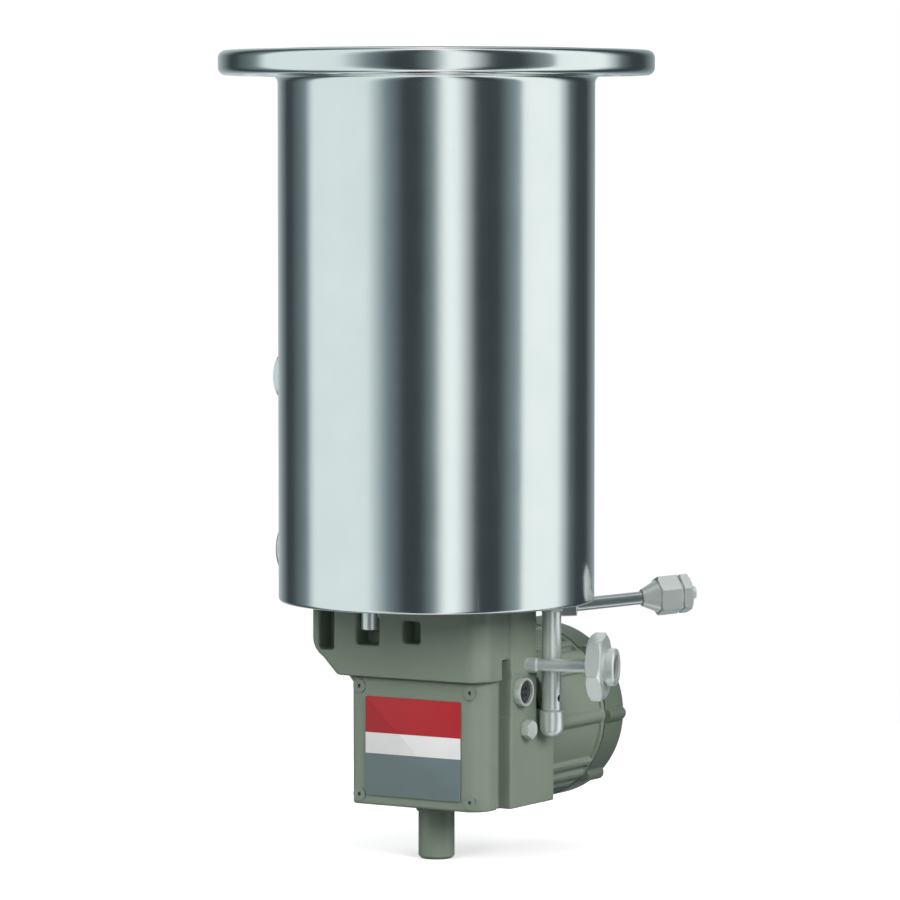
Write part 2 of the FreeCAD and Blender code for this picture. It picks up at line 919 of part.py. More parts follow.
def valve_plate():
    """Fixed plate that the rotary valve runs on, with a guiding rim."""
    start = cover_front + cover_wall
    outer = valve_diameter / 2 + running_clearance
    plate = cylinder(outer + valve_rim, valve_plate_thickness + valve_thickness,
                     (0, start, crank_height), (0, 1, 0))
    plate = plate.cut(cylinder(outer, valve_thickness,
                               (0, start + valve_plate_thickness, crank_height), (0, 1, 0)))
    for angle in (0, 90, 180, 270):
        reach = valve_port_circle / 2
        spot = (reach * math.cos(math.radians(angle)), start,
                crank_height + reach * math.sin(math.radians(angle)))
        plate = plate.cut(cylinder(valve_port / 2, valve_plate_thickness, spot, (0, 1, 0)))
    return plate


def screw_centres():
    """Upright screws that hold the casting: the fourth corner is the riser."""
    return [(screw_circle / 2 * math.cos(math.radians(angle)),
             screw_circle / 2 * math.sin(math.radians(angle))) for angle in (225, 135, 45)]


def bell():
    """Round top of the casting, curved in to the crankcase below."""
    top = bell_diameter / 2
    foot = bell_foot_diameter / 2
    shoulder = base_bottom - bell_side
    knee_radius = top - bell_knee_in
    knee = shoulder - bell_knee_drop
    middle = (top - bell_knee_middle_in, shoulder - bell_knee_middle_drop)
    return turned((0, base_bottom), (top, base_bottom), (top, shoulder),
                  (middle, (knee_radius, knee)), (foot, bell_foot),
                  (0, bell_foot))


def casting_outside():
    """Outer form of the crankcase: bell, box, right-hand riser."""
    space = block((-bell_diameter, bell_front, bell_foot), (bell_right, case_back, base_bottom))
    space = rounded(space, bell_corner, upright_edges_at(bell_right, bell_front))
    top = bell().common(space)
    under_band = block((-bell_diameter, bell_front - 1, bell_foot - 1),
                       (bell_diameter, cover_back, band_bottom))
    top = top.cut(under_band)
    step = cover_back + case_neck_depth
    box = block((case_left, step, case_bottom), (case_right, case_back, case_top))
    box = rounded(box, cover_left_round, upright_edges_at(case_left, case_back))
    neck = block((case_left, cover_back, case_bottom), (case_neck, step, case_top))
    riser = block((riser_left, step, case_top), (case_right, riser_back, base_bottom))
    whole = top.fuse([box, neck, riser])
    notch = block((notch_left, riser_back, ledge_height), (bell_diameter, case_back + 1, base_bottom))
    return whole.cut(notch).removeSplitter()


def front_pocket(x, width):
    """Pocket in the trimmed front of the bell."""
    low = (x - width / 2, bell_front - 1.0, pocket_floor)
    high = (x + width / 2, bell_front + pocket_depth, pocket_top)
    shape = block(low, high)
    return rounded(shape, pocket_round, upright_edges_at(y=bell_front + pocket_depth))


def screw_pockets():
    """Pockets for the two screws at the back, open to the outside."""
    corner = screw_circle / 2 * math.sqrt(0.5)
    half = screw_head / 2 + pocket_margin
    left = block((-bell_diameter / 2, corner - half, pocket_floor),
                 (-corner + half, corner + half, pocket_top))
    right = block((corner - half, corner - half, pocket_floor),
                  (corner + half, case_back + 1, pocket_top))
    return [left, right]


def drive_housing():
    """Crankcase casting with its cavity, pockets, bores and bearing seat."""
    shape = casting_outside()
    for x, width in pocket_places:
        shape = shape.cut(front_pocket(x, width))
    for pocket in screw_pockets():
        shape = shape.cut(pocket)
    for x, y in screw_centres():
        shape = shape.cut(cylinder(screw_shank / 2 + array_fit, base_bottom - pocket_top,
                                   (x, y, pocket_top)))
    seat = cold_flange_diameter / 2 + array_fit
    shape = shape.cut(cylinder(seat, cold_flange_thickness, (0, 0, cold_flange_bottom)))
    shape = shape.cut(cylinder(guide_rod / 2 + 1.5, cold_flange_bottom - cavity_ceiling + 1,
                               (0, 0, cavity_ceiling - 1)))
    cavity = block((cavity_left, cover_back - 1, case_bottom + case_wall),
                   (cavity_right, cavity_back, cavity_ceiling))
    shape = shape.cut(cavity)
    lower = lower_rod / 2 + running_clearance + bush_wall
    shape = shape.cut(cylinder(lower, case_wall, (0, 0, case_bottom)))
    shape = shape.cut(cylinder(bearing_radius, bearing_width, (0, cavity_back, crank_height),
                               (0, 1, 0)))
    shape = shape.cut(cylinder(shaft_radius + 2.0, case_back - cavity_back + 1,
                               (0, cavity_back, crank_height), (0, 1, 0)))
    for start, way in (supply_line(), return_line()):
        shape = shape.cut(cylinder(coupling_boss / 2 + running_clearance, coupling_boss_length * 2,
                                   pushed(start, way, -coupling_boss_length), way))
    for x, z in cover_screw_centres():
        shape = shape.cut(cylinder(cover_screw / 2, cover_screw_depth(), (x, cover_back, z),
                                   (0, 1, 0)))
    return shape


def housing_screws():
    """Cap screws that hang the casting under the vessel's base."""
    screws = []
    for x, y in screw_centres():
        head_top = pocket_top
        shank = cylinder(screw_shank / 2, base_bottom + screw_engagement - head_top,
                         (x, y, head_top))
        head_low = head_top - screw_head_height - screw_standing / 2
        head = cylinder(screw_head / 2, head_top - head_low, (x, y, head_low))
        socket = hexagon(screw_shank * 0.75, screw_head_height / 2)
        socket.translate(Vector(x, y, head_low))
        screws.append(shank.fuse(head).cut(socket))
    return group(screws)


def cover_outside():
    """Outer form of the front cover."""
    shape = block((case_left, cover_front, case_bottom), (cover_right, cover_back, band_bottom))
    shape = rounded(shape, cover_right_round, upright_edges_at(cover_right, cover_front))
    return rounded(shape, cover_left_round, upright_edges_at(case_left, cover_front))


def cover_screw_centres():
    """Countersunk screws in the corners of the cover."""
    inset = cover_screw_inset
    left = case_left + inset
    right = cavity_right + (case_neck - cavity_right) / 2
    high = band_bottom - inset
    low = case_bottom + inset
    return [(left, high), (left, low), (right, high), (right, low)]


def cover_screw_depth():
    """How far a cover screw reaches into the casting."""
    return cover_screw_length - (cover_back - cover_front)


def front_cover():
    """Deep front cover: walls all round, boss for the valve plate."""
    shape = cover_outside()
    hollow = block((cavity_left, cover_front + cover_wall, case_bottom + case_wall),
                   (cavity_right, cover_back + 1, band_bottom - cover_wall))
    shape = shape.cut(rounded(hollow, cover_left_round, along_z))
    countersink = (cover_screw_head - cover_screw) / 2
    for x, z in cover_screw_centres():
        shape = shape.cut(cylinder(cover_screw / 2, cover_back - cover_front, (x, cover_front, z),
                                   (0, 1, 0)))
        sink = Part.makeCone(cover_screw_head / 2, cover_screw / 2, countersink,
                             Vector(x, cover_front, z), Vector(0, 1, 0))
        shape = shape.cut(sink)
    return shape


def cover_screws():
    """Flush countersunk screws."""
    countersink = (cover_screw_head - cover_screw) / 2
    screws = []
    for x, z in cover_screw_centres():
        head = Part.makeCone(cover_screw_head / 2, cover_screw / 2, countersink,
                             Vector(x, cover_front, z), Vector(0, 1, 0))
        shank = cylinder(cover_screw / 2, cover_screw_length - countersink,
                         (x, cover_front + countersink, z), (0, 1, 0))
        socket = hexagon(cover_screw * 0.5, countersink)
        socket = placed(socket, (x, cover_front, z), (0, 1, 0))
        screws.append(head.fuse(shank).cut(socket))
    return group(screws)


def label_plate():
    """Thin bare plate on the front cover."""
    half_width = label_width / 2
    half_height = label_height / 2
    plate = block((label_centre_x - half_width, cover_front - label_thickness,
                   label_centre_z - half_height),
                  (label_centre_x + half_width, cover_front, label_centre_z + half_height))
    corners = [edge for edge in plate.Edges if edge.BoundBox.YLength > label_thickness / 2]
    return plate.makeFillet(label_corner, corners)


def guide_cap():
    """Blind cap round the lower guide rod."""
    collar_low = case_bottom - cap_collar_height
    neck_high = case_bottom - cap_groove_drop
    neck_low = neck_high - cap_neck_height
    body = turned((0, case_bottom), (cap_collar / 2, case_bottom), (cap_collar / 2, neck_high),
                  (cap_neck / 2, neck_high), (cap_neck / 2, neck_low), (cap_collar / 2, neck_low),
                  (cap_collar / 2, collar_low), (cap_diameter / 2, collar_low - cap_step),
                  (cap_diameter / 2, cap_bottom + cap_chamfer),
                  (cap_diameter / 2 - cap_chamfer, cap_bottom), (0, cap_bottom))
    hollow = cylinder(cap_bore / 2, case_bottom - cap_bottom - cap_floor,
                      (0, 0, cap_bottom + cap_floor))
    return body.cut(hollow)


def motor_point(angle, reach):
    """Place on a circle about the motor's axis."""
    turn = math.radians(angle)
    return reach * math.cos(turn), crank_height + reach * math.sin(turn)


def rib_angles():
    """Two ribs beside each screw boss, none at the two sides."""
    pitch = 360.0 / motor_screw_count
    for index in range(1, motor_screw_count // 2):
        for side in (-rib_spread, rib_spread):
            yield pitch * index + side
            yield -pitch * index - side


def motor_housing():
    """Ribbed motor shell bolted between the crankcase and the end bell."""
    length = bell_start - case_back
    shell = tube(motor_radius, motor_radius - motor_wall, length, (0, case_back, crank_height),
                 (0, 1, 0))
    core = cylinder(motor_radius - motor_wall, length, (0, case_back, crank_height), (0, 1, 0))
    for angle in rib_angles():
        half = rib_width / 2
        rib = block((0, case_back + rib_end_gap, -half),
                    (motor_radius + rib_height, bell_start - rib_end_gap, half))
        rib.rotate(Vector(0, 0, 0), Vector(0, 1, 0), -angle)
        rib.translate(Vector(0, 0, crank_height))
        shell = shell.fuse(rib.cut(core))
    flange = tube(motor_radius + rib_height, motor_radius - motor_wall, rib_end_gap,
                  (0, case_back, crank_height), (0, 1, 0))
    rear = tube(motor_radius + rib_height, motor_radius - motor_wall, rib_end_gap,
                (0, bell_start - rib_end_gap, crank_height), (0, 1, 0))
    bosses = [cylinder(lug_diameter / 2, length, (x, case_back, z), (0, 1, 0)).cut(core)
              for x, z in motor_screw_centres()]
    shell = shell.fuse([flange, rear] + bosses)
    for x, z in motor_screw_centres():
        shell = shell.cut(cylinder(motor_screw / 2 + running_clearance, bell_start - case_back,
                                   (x, case_back, z), (0, 1, 0)))
    return shell


def motor_screw_centres():
    """Screws round the end bell."""
    reach = motor_radius - motor_wall / 2 + rib_height / 2
    for index in range(motor_screw_count):
        yield motor_point(motor_screw_start + 360.0 * index / motor_screw_count, reach)


def motor_end_bell():
    """Domed end cover with screw lugs and a bearing boss inside."""
    depth = motor_end - bell_start
    outer = motor_radius + end_bell_overhang
    inner = motor_radius - motor_wall
    shape = cylinder(outer, depth, (0, 0, 0))
    rim = [edge for edge in shape.Edges if abs(edge.BoundBox.ZMin - depth) < 1e-6]
    shape = shape.makeFillet(end_bell_round, rim)
    for index in range(motor_screw_count):
        angle = math.radians(motor_screw_start + 360.0 * index / motor_screw_count)
        reach = motor_radius + lug_offset
        spot = (reach * math.cos(angle), reach * math.sin(angle), 0)
        shape = shape.fuse(cylinder(lug_diameter / 2, depth - end_bell_round, spot))
    shape = shape.cut(cylinder(inner, depth - end_bell_wall))
    boss_start = end_bearing_start() - bell_start - 1.0
    boss = cylinder(bearing_radius + end_bell_wall, depth - end_bell_wall - boss_start,
                    (0, 0, boss_start))
    bore_end = end_bearing_start() + bearing_width - bell_start
    shape = shape.fuse(boss).cut(cylinder(bearing_radius, bore_end))
    shape = shape.cut(cylinder(shaft_radius + 1.0, depth - end_bell_wall))
    shape = placed(shape, (0, bell_start, crank_height), (0, 1, 0))
    for x, z in motor_screw_centres():
        shape = shape.cut(cylinder(motor_screw / 2 + running_clearance, depth,
                                   (x, bell_start, z), (0, 1, 0)))
        shape = shape.cut(cylinder(motor_screw_head / 2 + array_fit, end_bell_round + 1,
                                   (x, motor_end - end_bell_round, z), (0, 1, 0)))
    return shape


def motor_screws():
    """Long cap screws from the end bell into the shell."""
    screws = []
    seat = motor_end - end_bell_round
    length = seat - bell_start + motor_screw_length
    for x, z in motor_screw_centres():
        shank = cylinder(motor_screw / 2, length, (x, seat - length, z), (0, 1, 0))
        head = cylinder(motor_screw_head / 2, motor_screw, (x, seat, z), (0, 1, 0))
        socket = placed(hexagon(motor_screw * 0.75, motor_screw / 2),
                        (x, seat + motor_screw / 2, z), (0, 1, 0))
        screws.append(shank.fuse(head).cut(socket))
    return group(screws)


def motor_stator():
    """Laminated ring with the winding heads at both ends."""
    core = tube(stator_radius, stator_bore / 2, stator_length, (0, stator_start, crank_height),
                (0, 1, 0))
    inner = stator_bore / 2 + 2.0
    for start in (stator_start - winding_height, stator_start + stator_length):
        core = core.fuse(tube(inner + winding_wall, inner, winding_height,
                              (0, start, crank_height), (0, 1, 0)))
    return core


def motor_rotor():
    """Rotor pressed on the crankshaft."""
    start = stator_start + (stator_length - rotor_length) / 2
    return tube(stator_bore / 2 - air_gap, shaft_radius, rotor_length,
                (0, start, crank_height), (0, 1, 0))


def pushed(start, way, distance):
    """Point moved along a direction."""
    return tuple(a + b * distance for a, b in zip(start, way))


def supply_line():
    """Start and direction of the supply coupling on the riser's right face."""
    return (case_right, supply_side, supply_height), heading(supply_bearing)


def return_line():
    """Start and direction of the return coupling on the casting's back."""
    return (return_side, case_back, return_height), heading(return_bearing)


def helium_coupling():
    """Self-sealing coupling half drawn along +Z: the stem and the head on its end."""
    hex_start = coupling_stem_length
    nose_start = hex_start + coupling_hex_length
    end = coupling_end()
    seat = end - coupling_bore_depth
    stem = cylinder(coupling_boss / 2, coupling_boss_length * 2 - 2, (0, 0, -coupling_boss_length))
    stem = stem.fuse(cylinder(coupling_stem / 2, seat, (0, 0, 0)))
    shape = chamfered_hexagon(coupling_hex, coupling_hex_length, hex_start)
    nose = turned((0, nose_start), (coupling_nose / 2 - 1.0, nose_start),
                  (coupling_nose / 2 - 1.0, nose_start + 1.5), (coupling_nose / 2, nose_start + 1.5),
                  (coupling_nose / 2, end - 1.0), (coupling_nose / 2 - 1.0, end), (0, end))
    shape = shape.fuse(nose)
    shape = shape.cut(cylinder(coupling_bore / 2, coupling_bore_depth,
                               (0, 0, end - coupling_bore_depth)))
    shape = shape.cut(cylinder(coupling_stem / 2 + running_clearance, end - hex_start,
                               (0, 0, hex_start)))
    passage = coupling_stem / 4
    stem = stem.cut(cylinder(passage, end + coupling_boss_length, (0, 0, -coupling_boss_length)))
    return group([stem, shape])


def coupling_end():
    """Length of a coupling from its face on the casting."""
    return coupling_stem_length + coupling_hex_length + coupling_nose_length


def coupling_poppet():
    """Sealing disc with a short guide, running in the coupling's bore."""
    front = coupling_end() - coupling_recess
    disc = cylinder(coupling_bore / 2 - running_clearance, poppet_thickness,
                    (0, 0, front - poppet_thickness))
    dimple = cylinder(coupling_bore / 4, 1.0, (0, 0, front - 1.0))
    return disc.cut(dimple)


def coupling_spring():
    """Spring behind the poppet."""
    floor = coupling_end() - coupling_bore_depth
    room = coupling_bore_depth - coupling_recess - poppet_thickness
    return coil(coupling_bore / 2 - 2.2, room - 2 * spring_gap, coupling_spring_turns,
                (0, 0, floor + spring_gap), (0, 0, 1))


def on_line(shape, line):
    """Puts a coupling piece on its line."""
    start, way = line
    return placed(shape, start, way)


def relief_valve_body():
    """Bored body under the vessel's base with the valve seat at its top."""
    base = (relief_x, relief_y, base_bottom - relief_length)
    shape = cylinder(relief_diameter / 2, relief_length, base)
    collar = chamfered_hexagon(relief_diameter * 1.15, relief_vent * 1.5)
    collar.translate(Vector(relief_x, relief_y, base_bottom - relief_vent * 1.5))
    shape = shape.fuse(collar)
    shape = shape.cut(cylinder(relief_bore / 2, relief_length - relief_seat, base))
    shape = shape.cut(cylinder(relief_orifice / 2, relief_length, base))
    vent = (relief_x - relief_diameter, relief_y, base[2] + relief_vent * 2)
    return shape.cut(cylinder(relief_vent / 2, relief_diameter * 2, vent, (1, 0, 0)))


def relief_valve_poppet():
    """Plunger that closes the orifice."""
    top = base_bottom - relief_seat
    low = top - relief_poppet_length
    shape = cylinder(relief_bore / 2 - running_clearance, relief_poppet_length - 0.1,
                     (relief_x, relief_y, low))
    return shape.cut(cylinder(relief_bore / 4, relief_poppet_length / 2, (relief_x, relief_y, low)))


def relief_valve_spring():
    """Spring between the plunger and the cap."""
    low = base_bottom - relief_length + relief_spigot
    high = base_bottom - relief_seat - relief_poppet_length
    return coil(relief_bore / 2 - 1.2, high - low - 2 * spring_gap, relief_spring_turns,
                (relief_x, relief_y, low + spring_gap), (0, 0, 1))


def relief_valve_cap():
    """Domed cap with a spigot into the body."""
    top = base_bottom - relief_length
    shape = cylinder(relief_cap / 2, relief_cap_length, (relief_x, relief_y, top - relief_cap_length))
    low = [edge for edge in shape.Edges if edge.BoundBox.ZMax < top - relief_cap_length + 1e-6]
    shape = shape.makeFillet(relief_cap_round, low)
    spigot = cylinder(relief_bore / 2 - array_fit, relief_spigot, (relief_x, relief_y, top))
    return shape.fuse(spigot)


def purge_line():
    """Elbow block under the base and the tube that leaves it sideways."""
    block_shape = block((purge_block_start, -purge_block / 2, base_bottom - purge_block_height),
                        (purge_block_start + purge_block, purge_block / 2, base_bottom))
    block_shape.rotate(Vector(0, 0, 0), Vector(0, 0, 1), purge_bearing)
    run = cylinder(purge_tube / 2, purge_run, purge_start(), purge_way())
    shape = block_shape.fuse(run)
    shape = shape.cut(cylinder(purge_tube_bore / 2, purge_run, purge_start(), purge_way()))
    return shape.cut(purge_passage())


def purge_fitting():
    """Hex fitting with a tapered entry and a small outlet nipple."""
    corner = purge_hex / math.sqrt(3)
    taper = purge_taper_length
    hex_end = taper + purge_hex_length
    shape = turned((0, 0), (purge_tube / 2 + 1.2, 0), (corner * 0.8, taper), (0, taper))
    shape = shape.fuse(chamfered_hexagon(purge_hex, purge_hex_length, taper))
    ring_low = purge_hex / 2 - purge_ring_depth
    ring_start = hex_end - purge_ring_place
    ring_end = ring_start - purge_ring_width
    ring = turned((ring_low, ring_start), (corner + 2, ring_start), (corner + 2, ring_end),
                  (ring_low, ring_end))
    shape = shape.cut(ring)
    shape = shape.fuse(cylinder(purge_tip / 2, purge_tip_length, (0, 0, hex_end)))
    shape = shape.cut(cylinder(purge_tip / 4, hex_end + purge_tip_length))
    return placed(shape, pushed(purge_start(), purge_way(), purge_run), purge_way())


def power_socket():
    """Round shell of the motor's electrical socket."""
    shape = cylinder(socket_diameter / 2, socket_reach, (case_right, socket_y, socket_z), (1, 0, 0))
    return shape.cut(cylinder(socket_bore / 2, socket_reach - socket_floor,
                              (case_right + socket_floor, socket_y, socket_z), (1, 0, 0)))


def socket_insert():
    """Insulating insert with four contact pins."""
    radius = socket_bore / 2 - array_fit
    start = case_right + socket_floor
    insert = cylinder(radius, socket_insert_thickness, (start, socket_y, socket_z), (1, 0, 0))
    for y, z in round_pattern(4, socket_pin_circle, 45.0):
        insert = insert.fuse(cylinder(socket_pin / 2, socket_reach - socket_floor - 1.0,
                                      (start, socket_y + y, socket_z + z), (1, 0, 0)))
    return insert


def charge_plug():
    """Small hex plug of the gas charging hole."""
    shape = chamfered_hexagon(plug_hex, plug_reach)
    return placed(shape, (case_right, plug_y, plug_z), (1, 0, 0))


NODES = {
    "inlet_flange": inlet_flange,
    "inlet_seal": inlet_seal,
    "vessel_shell": vessel_shell,
    "vessel_base": vessel_base,
    "roughing_port": roughing_port,
    "instrument_port": instrument_port,
    "sensor_feedthrough": sensor_feedthrough,
    "radiation_shield": radiation_shield,
    "inlet_louvres": inlet_louvres,
    "louvre_struts": louvre_struts,
    "first_stage_cylinder": first_stage_cylinder,
    "first_stage_station": first_stage_station,
    "second_stage_cylinder": second_stage_cylinder,
    "second_stage_station": second_stage_station,
    "temperature_sensors": temperature_sensors,
    "array_bracket": array_bracket,
    "array_rings": array_rings,
    "charcoal_linings": charcoal_linings,
    "cold_head_flange": cold_head_flange,
    "cold_head_seal": cold_head_seal,
    "guide_bushes": guide_bushes,
    "first_displacer": first_displacer,
    "second_displacer": second_displacer,
    "displacer_seals": displacer_seals,
    "first_regenerator": first_regenerator,
    "second_regenerator": second_regenerator,
    "displacer_link": displacer_link,
    "yoke": yoke,
    "yoke_roller": yoke_roller,
    "crankshaft": crankshaft,
    "shaft_bearings": shaft_bearings,
    "valve_disc": valve_disc,
    "valve_plate": valve_plate,
    "drive_housing": drive_housing,
    "housing_screws": housing_screws,
    "front_cover": front_cover,
    "cover_screws": cover_screws,
    "label_plate": label_plate,
    "guide_cap": guide_cap,
    "motor_housing": motor_housing,
    "motor_end_bell": motor_end_bell,
    "motor_screws": motor_screws,
    "motor_stator": motor_stator,
    "motor_rotor": motor_rotor,
    "supply_coupling": lambda: on_line(helium_coupling(), supply_line()),
    "supply_poppet": lambda: on_line(coupling_poppet(), supply_line()),
    "supply_spring": lambda: on_line(coupling_spring(), supply_line()),
    "return_coupling": lambda: on_line(helium_coupling(), return_line()),
    "return_poppet": lambda: on_line(coupling_poppet(), return_line()),
    "return_spring": lambda: on_line(coupling_spring(), return_line()),
    "relief_valve_body": relief_valve_body,
    "relief_valve_poppet": relief_valve_poppet,
    "relief_valve_spring": relief_valve_spring,
    "relief_valve_cap": relief_valve_cap,
    "purge_line": purge_line,
    "purge_fitting": purge_fitting,
    "power_socket": power_socket,
    "socket_insert": socket_insert,
    "charge_plug": charge_plug,
}

for name, make in NODES.items():
    shape = make()
    if not shape.isValid():
        print("invalid shape:", name)
    shape.exportStep(os.path.join("parts", name + ".step"))
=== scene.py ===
"""Looks of the cryopump: every visible piece, its finish, and a plain pale studio."""
import json
import logging
import math
from dataclasses import dataclass
from enum import Enum
from itertools import product
from typing import Any, Callable, Iterable, Protocol, Sequence

import bpy
import numpy as np
from mathutils import Matrix, Vector


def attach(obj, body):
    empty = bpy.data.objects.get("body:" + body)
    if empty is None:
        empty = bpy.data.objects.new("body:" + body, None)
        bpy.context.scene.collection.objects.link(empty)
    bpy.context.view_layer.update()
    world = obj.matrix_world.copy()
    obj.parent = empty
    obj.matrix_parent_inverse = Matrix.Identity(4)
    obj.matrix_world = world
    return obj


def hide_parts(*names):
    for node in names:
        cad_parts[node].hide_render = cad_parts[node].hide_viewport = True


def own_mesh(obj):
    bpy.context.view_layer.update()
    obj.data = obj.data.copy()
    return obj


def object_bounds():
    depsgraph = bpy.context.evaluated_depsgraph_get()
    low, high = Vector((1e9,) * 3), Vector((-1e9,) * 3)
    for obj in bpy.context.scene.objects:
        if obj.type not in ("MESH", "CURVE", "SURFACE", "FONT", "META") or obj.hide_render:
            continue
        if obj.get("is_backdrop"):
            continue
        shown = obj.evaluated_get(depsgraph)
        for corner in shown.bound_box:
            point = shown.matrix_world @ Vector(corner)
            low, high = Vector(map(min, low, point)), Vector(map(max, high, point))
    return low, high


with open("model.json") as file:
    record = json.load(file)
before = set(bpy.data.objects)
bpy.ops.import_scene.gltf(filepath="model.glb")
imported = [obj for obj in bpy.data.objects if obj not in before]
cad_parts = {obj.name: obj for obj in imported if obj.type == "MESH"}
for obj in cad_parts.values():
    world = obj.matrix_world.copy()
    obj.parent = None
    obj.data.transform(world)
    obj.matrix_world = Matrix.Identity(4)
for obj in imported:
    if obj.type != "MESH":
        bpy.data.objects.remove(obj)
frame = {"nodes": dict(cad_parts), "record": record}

log = logging.getLogger("cryopump")

MM = 0.001
TINY = 1e-6
UP = Vector((0, 0, 1))
Point = tuple[float, float, float]
Spot = tuple[float, float]
Form = Callable[[np.ndarray], np.ndarray]
Piece = bpy.types.Object


class Axis(Enum):
    """Main direction of a round piece or a plane."""

    X = 0
    Y = 1
    Z = 2


def box(low: Point, high: Point, edge: float = 0.0) -> Form:
    """Box between two corners with rounded edges.

    Args:
        low: Lowest corner in millimetres.
        high: Highest corner in millimetres.
        edge: Radius of the edges.

    Returns:
        Signed distance of points to the box.
    """
    centre = (np.array(high) + np.array(low)) / 2
    half = (np.array(high) - np.array(low)) / 2 - edge

    def distance(points: np.ndarray) -> np.ndarray:
        """Distance of each point."""
        away = np.abs(points - centre) - half
        outside = np.linalg.norm(np.maximum(away, 0), axis=1)
        return outside + np.minimum(away.max(axis=1), 0) - edge

    return distance


def rod(axis: Axis, radius: float, start: float, end: float, at: Spot = (0, 0),
        edge: float = 0.0) -> Form:
    """Round bar along a main axis.

    Args:
        axis: Direction of the bar.
        radius: Its radius.
        start: Where it starts along the axis.
        end: Where it ends.
        at: The two other coordinates of its centre line.
        edge: Radius of the rims.

    Returns:
        Signed distance of points to the bar.
    """
    along = axis.value
    across, over = (index for index in range(3) if index != along)
    middle = (start + end) / 2
    half = (end - start) / 2 - edge

    def distance(points: np.ndarray) -> np.ndarray:
        """Distance of each point."""
        out = np.hypot(points[:, across] - at[0], points[:, over] - at[1]) - radius + edge
        past = np.abs(points[:, along] - middle) - half
        outside = np.hypot(np.maximum(out, 0), np.maximum(past, 0))
        return outside + np.minimum(np.maximum(out, past), 0) - edge

    return distance


def turned_form(profile: Sequence[Spot]) -> Form:
    """Solid of revolution about Z from a closed outline of (radius, z).

    Args:
        profile: Corners of the outline in order.

    Returns:
        Signed distance of points to the solid.
    """
    corners = np.array(profile, float)

    def distance(points: np.ndarray) -> np.ndarray:
        """Distance of each point."""
        spot = np.stack([np.hypot(points[:, 0], points[:, 1]), points[:, 2]], axis=1)
        best = np.full(len(points), np.inf)
        sign = np.ones(len(points))
        for here, last in zip(corners, np.roll(corners, 1, axis=0)):
            run = last - here
            gap = spot - here
            share = np.clip((gap @ run) / (run @ run), 0, 1)
            off = gap - share[:, None] * run
            best = np.minimum(best, (off ** 2).sum(axis=1))
            above = spot[:, 1] >= here[1]
            below = spot[:, 1] < last[1]
            side = run[0] * gap[:, 1] > run[1] * gap[:, 0]
            flip = (above & below & side) | (~above & ~below & ~side)
            sign = np.where(flip, -sign, sign)
        return sign * np.sqrt(best)

    return distance


def hexagonal(across: float, start: float, end: float) -> Form:
    """Hexagonal bar along Z whose corners are turned off at both ends.

    Args:
        across: Width across the flats.
        start: Lower end.
        end: Upper end.

    Returns:
        Signed distance of points to the bar.
    """
    flat = across / 2
    chamfer, spare = 1.6, 1.005
    normals = [(math.cos(math.radians(turn)), math.sin(math.radians(turn)))
               for turn in (30, 90, 150)]

    def distance(points: np.ndarray) -> np.ndarray:
        """Distance of each point."""
        sides = [np.abs(points[:, 0] * x + points[:, 1] * y) - flat for x, y in normals]
        past = np.abs(points[:, 2] - (start + end) / 2) - (end - start) / 2
        reach = np.hypot(points[:, 0], points[:, 1])
        corner = (reach - flat * spare + past * chamfer) / math.hypot(1, chamfer)
        return np.maximum.reduce(sides + [past, corner])

    return distance


def half_space(axis: Axis, limit: float, above: bool = False) -> Form:
    """Everything on one side of a level or upright plane."""
    sign = -1.0 if above else 1.0
    return lambda points: sign * (points[:, axis.value] - limit)


def rounded_corner(x: float, y: float, radius: float, left: bool = False) -> Form:
    """Everything behind a rounded front corner that stands upright.

    Args:
        x: Side face of the corner.
        y: Front face of the corner.
        radius: Corner radius.
        left: Whether the side face looks to -X.

    Returns:
        Signed distance of points to the space.
    """
    sign = -1.0 if left else 1.0

    def distance(points: np.ndarray) -> np.ndarray:
        """Distance of each point."""
        across = sign * (points[:, 0] - x) + radius
        ahead = y - points[:, 1] + radius
        outside = np.hypot(np.maximum(across, 0), np.maximum(ahead, 0))
        return outside + np.minimum(np.maximum(across, ahead), 0) - radius

    return distance


def outside_of(form: Form) -> Form:
    """Everything that a form leaves free."""
    return lambda points: -form(points)


def joined(forms: Iterable[Form], blend: float = 0.0) -> Form:
    """All forms as one.

    Args:
        forms: The forms.
        blend: Rough size of the fillets where they meet.

    Returns:
        Signed distance of points to the whole.
    """
    parts = list(forms)

    def distance(points: np.ndarray) -> np.ndarray:
        """Distance of each point."""
        result = parts[0](points)
        for part in parts[1:]:
            other = part(points)
            if blend > 0:
                share = np.clip(0.5 + 0.5 * (other - result) / blend, 0, 1)
                result = other + (result - other) * share - blend * share * (1 - share)
            else:
                result = np.minimum(result, other)
        return result

    return distance


def shared(forms: Iterable[Form], blend: float = 0.0) -> Form:
    """Space that all forms have in common, its new edges eased."""
    return outside_of(joined([outside_of(form) for form in forms], blend))


def carved(form: Form, cutters: Iterable[Form], blend: float = 0.0) -> Form:
    """A form with others taken out of it, its new edges eased."""
    return outside_of(joined([outside_of(form), *cutters], blend))


def slope(form: Form, points: np.ndarray, reach: float = 0.02) -> np.ndarray:
    """Direction in which the distance grows.

    Args:
        form: Signed distance in millimetres.
        points: Points in millimetres.
        reach: Half the length over which the growth is measured.

    Returns:
        Unit vector at each point.
    """
    moves = np.eye(3) * reach
    growth = np.stack([form(points + move) - form(points - move) for move in moves], axis=1)
    return growth / np.maximum(np.linalg.norm(growth, axis=1, keepdims=True), 1e-9)


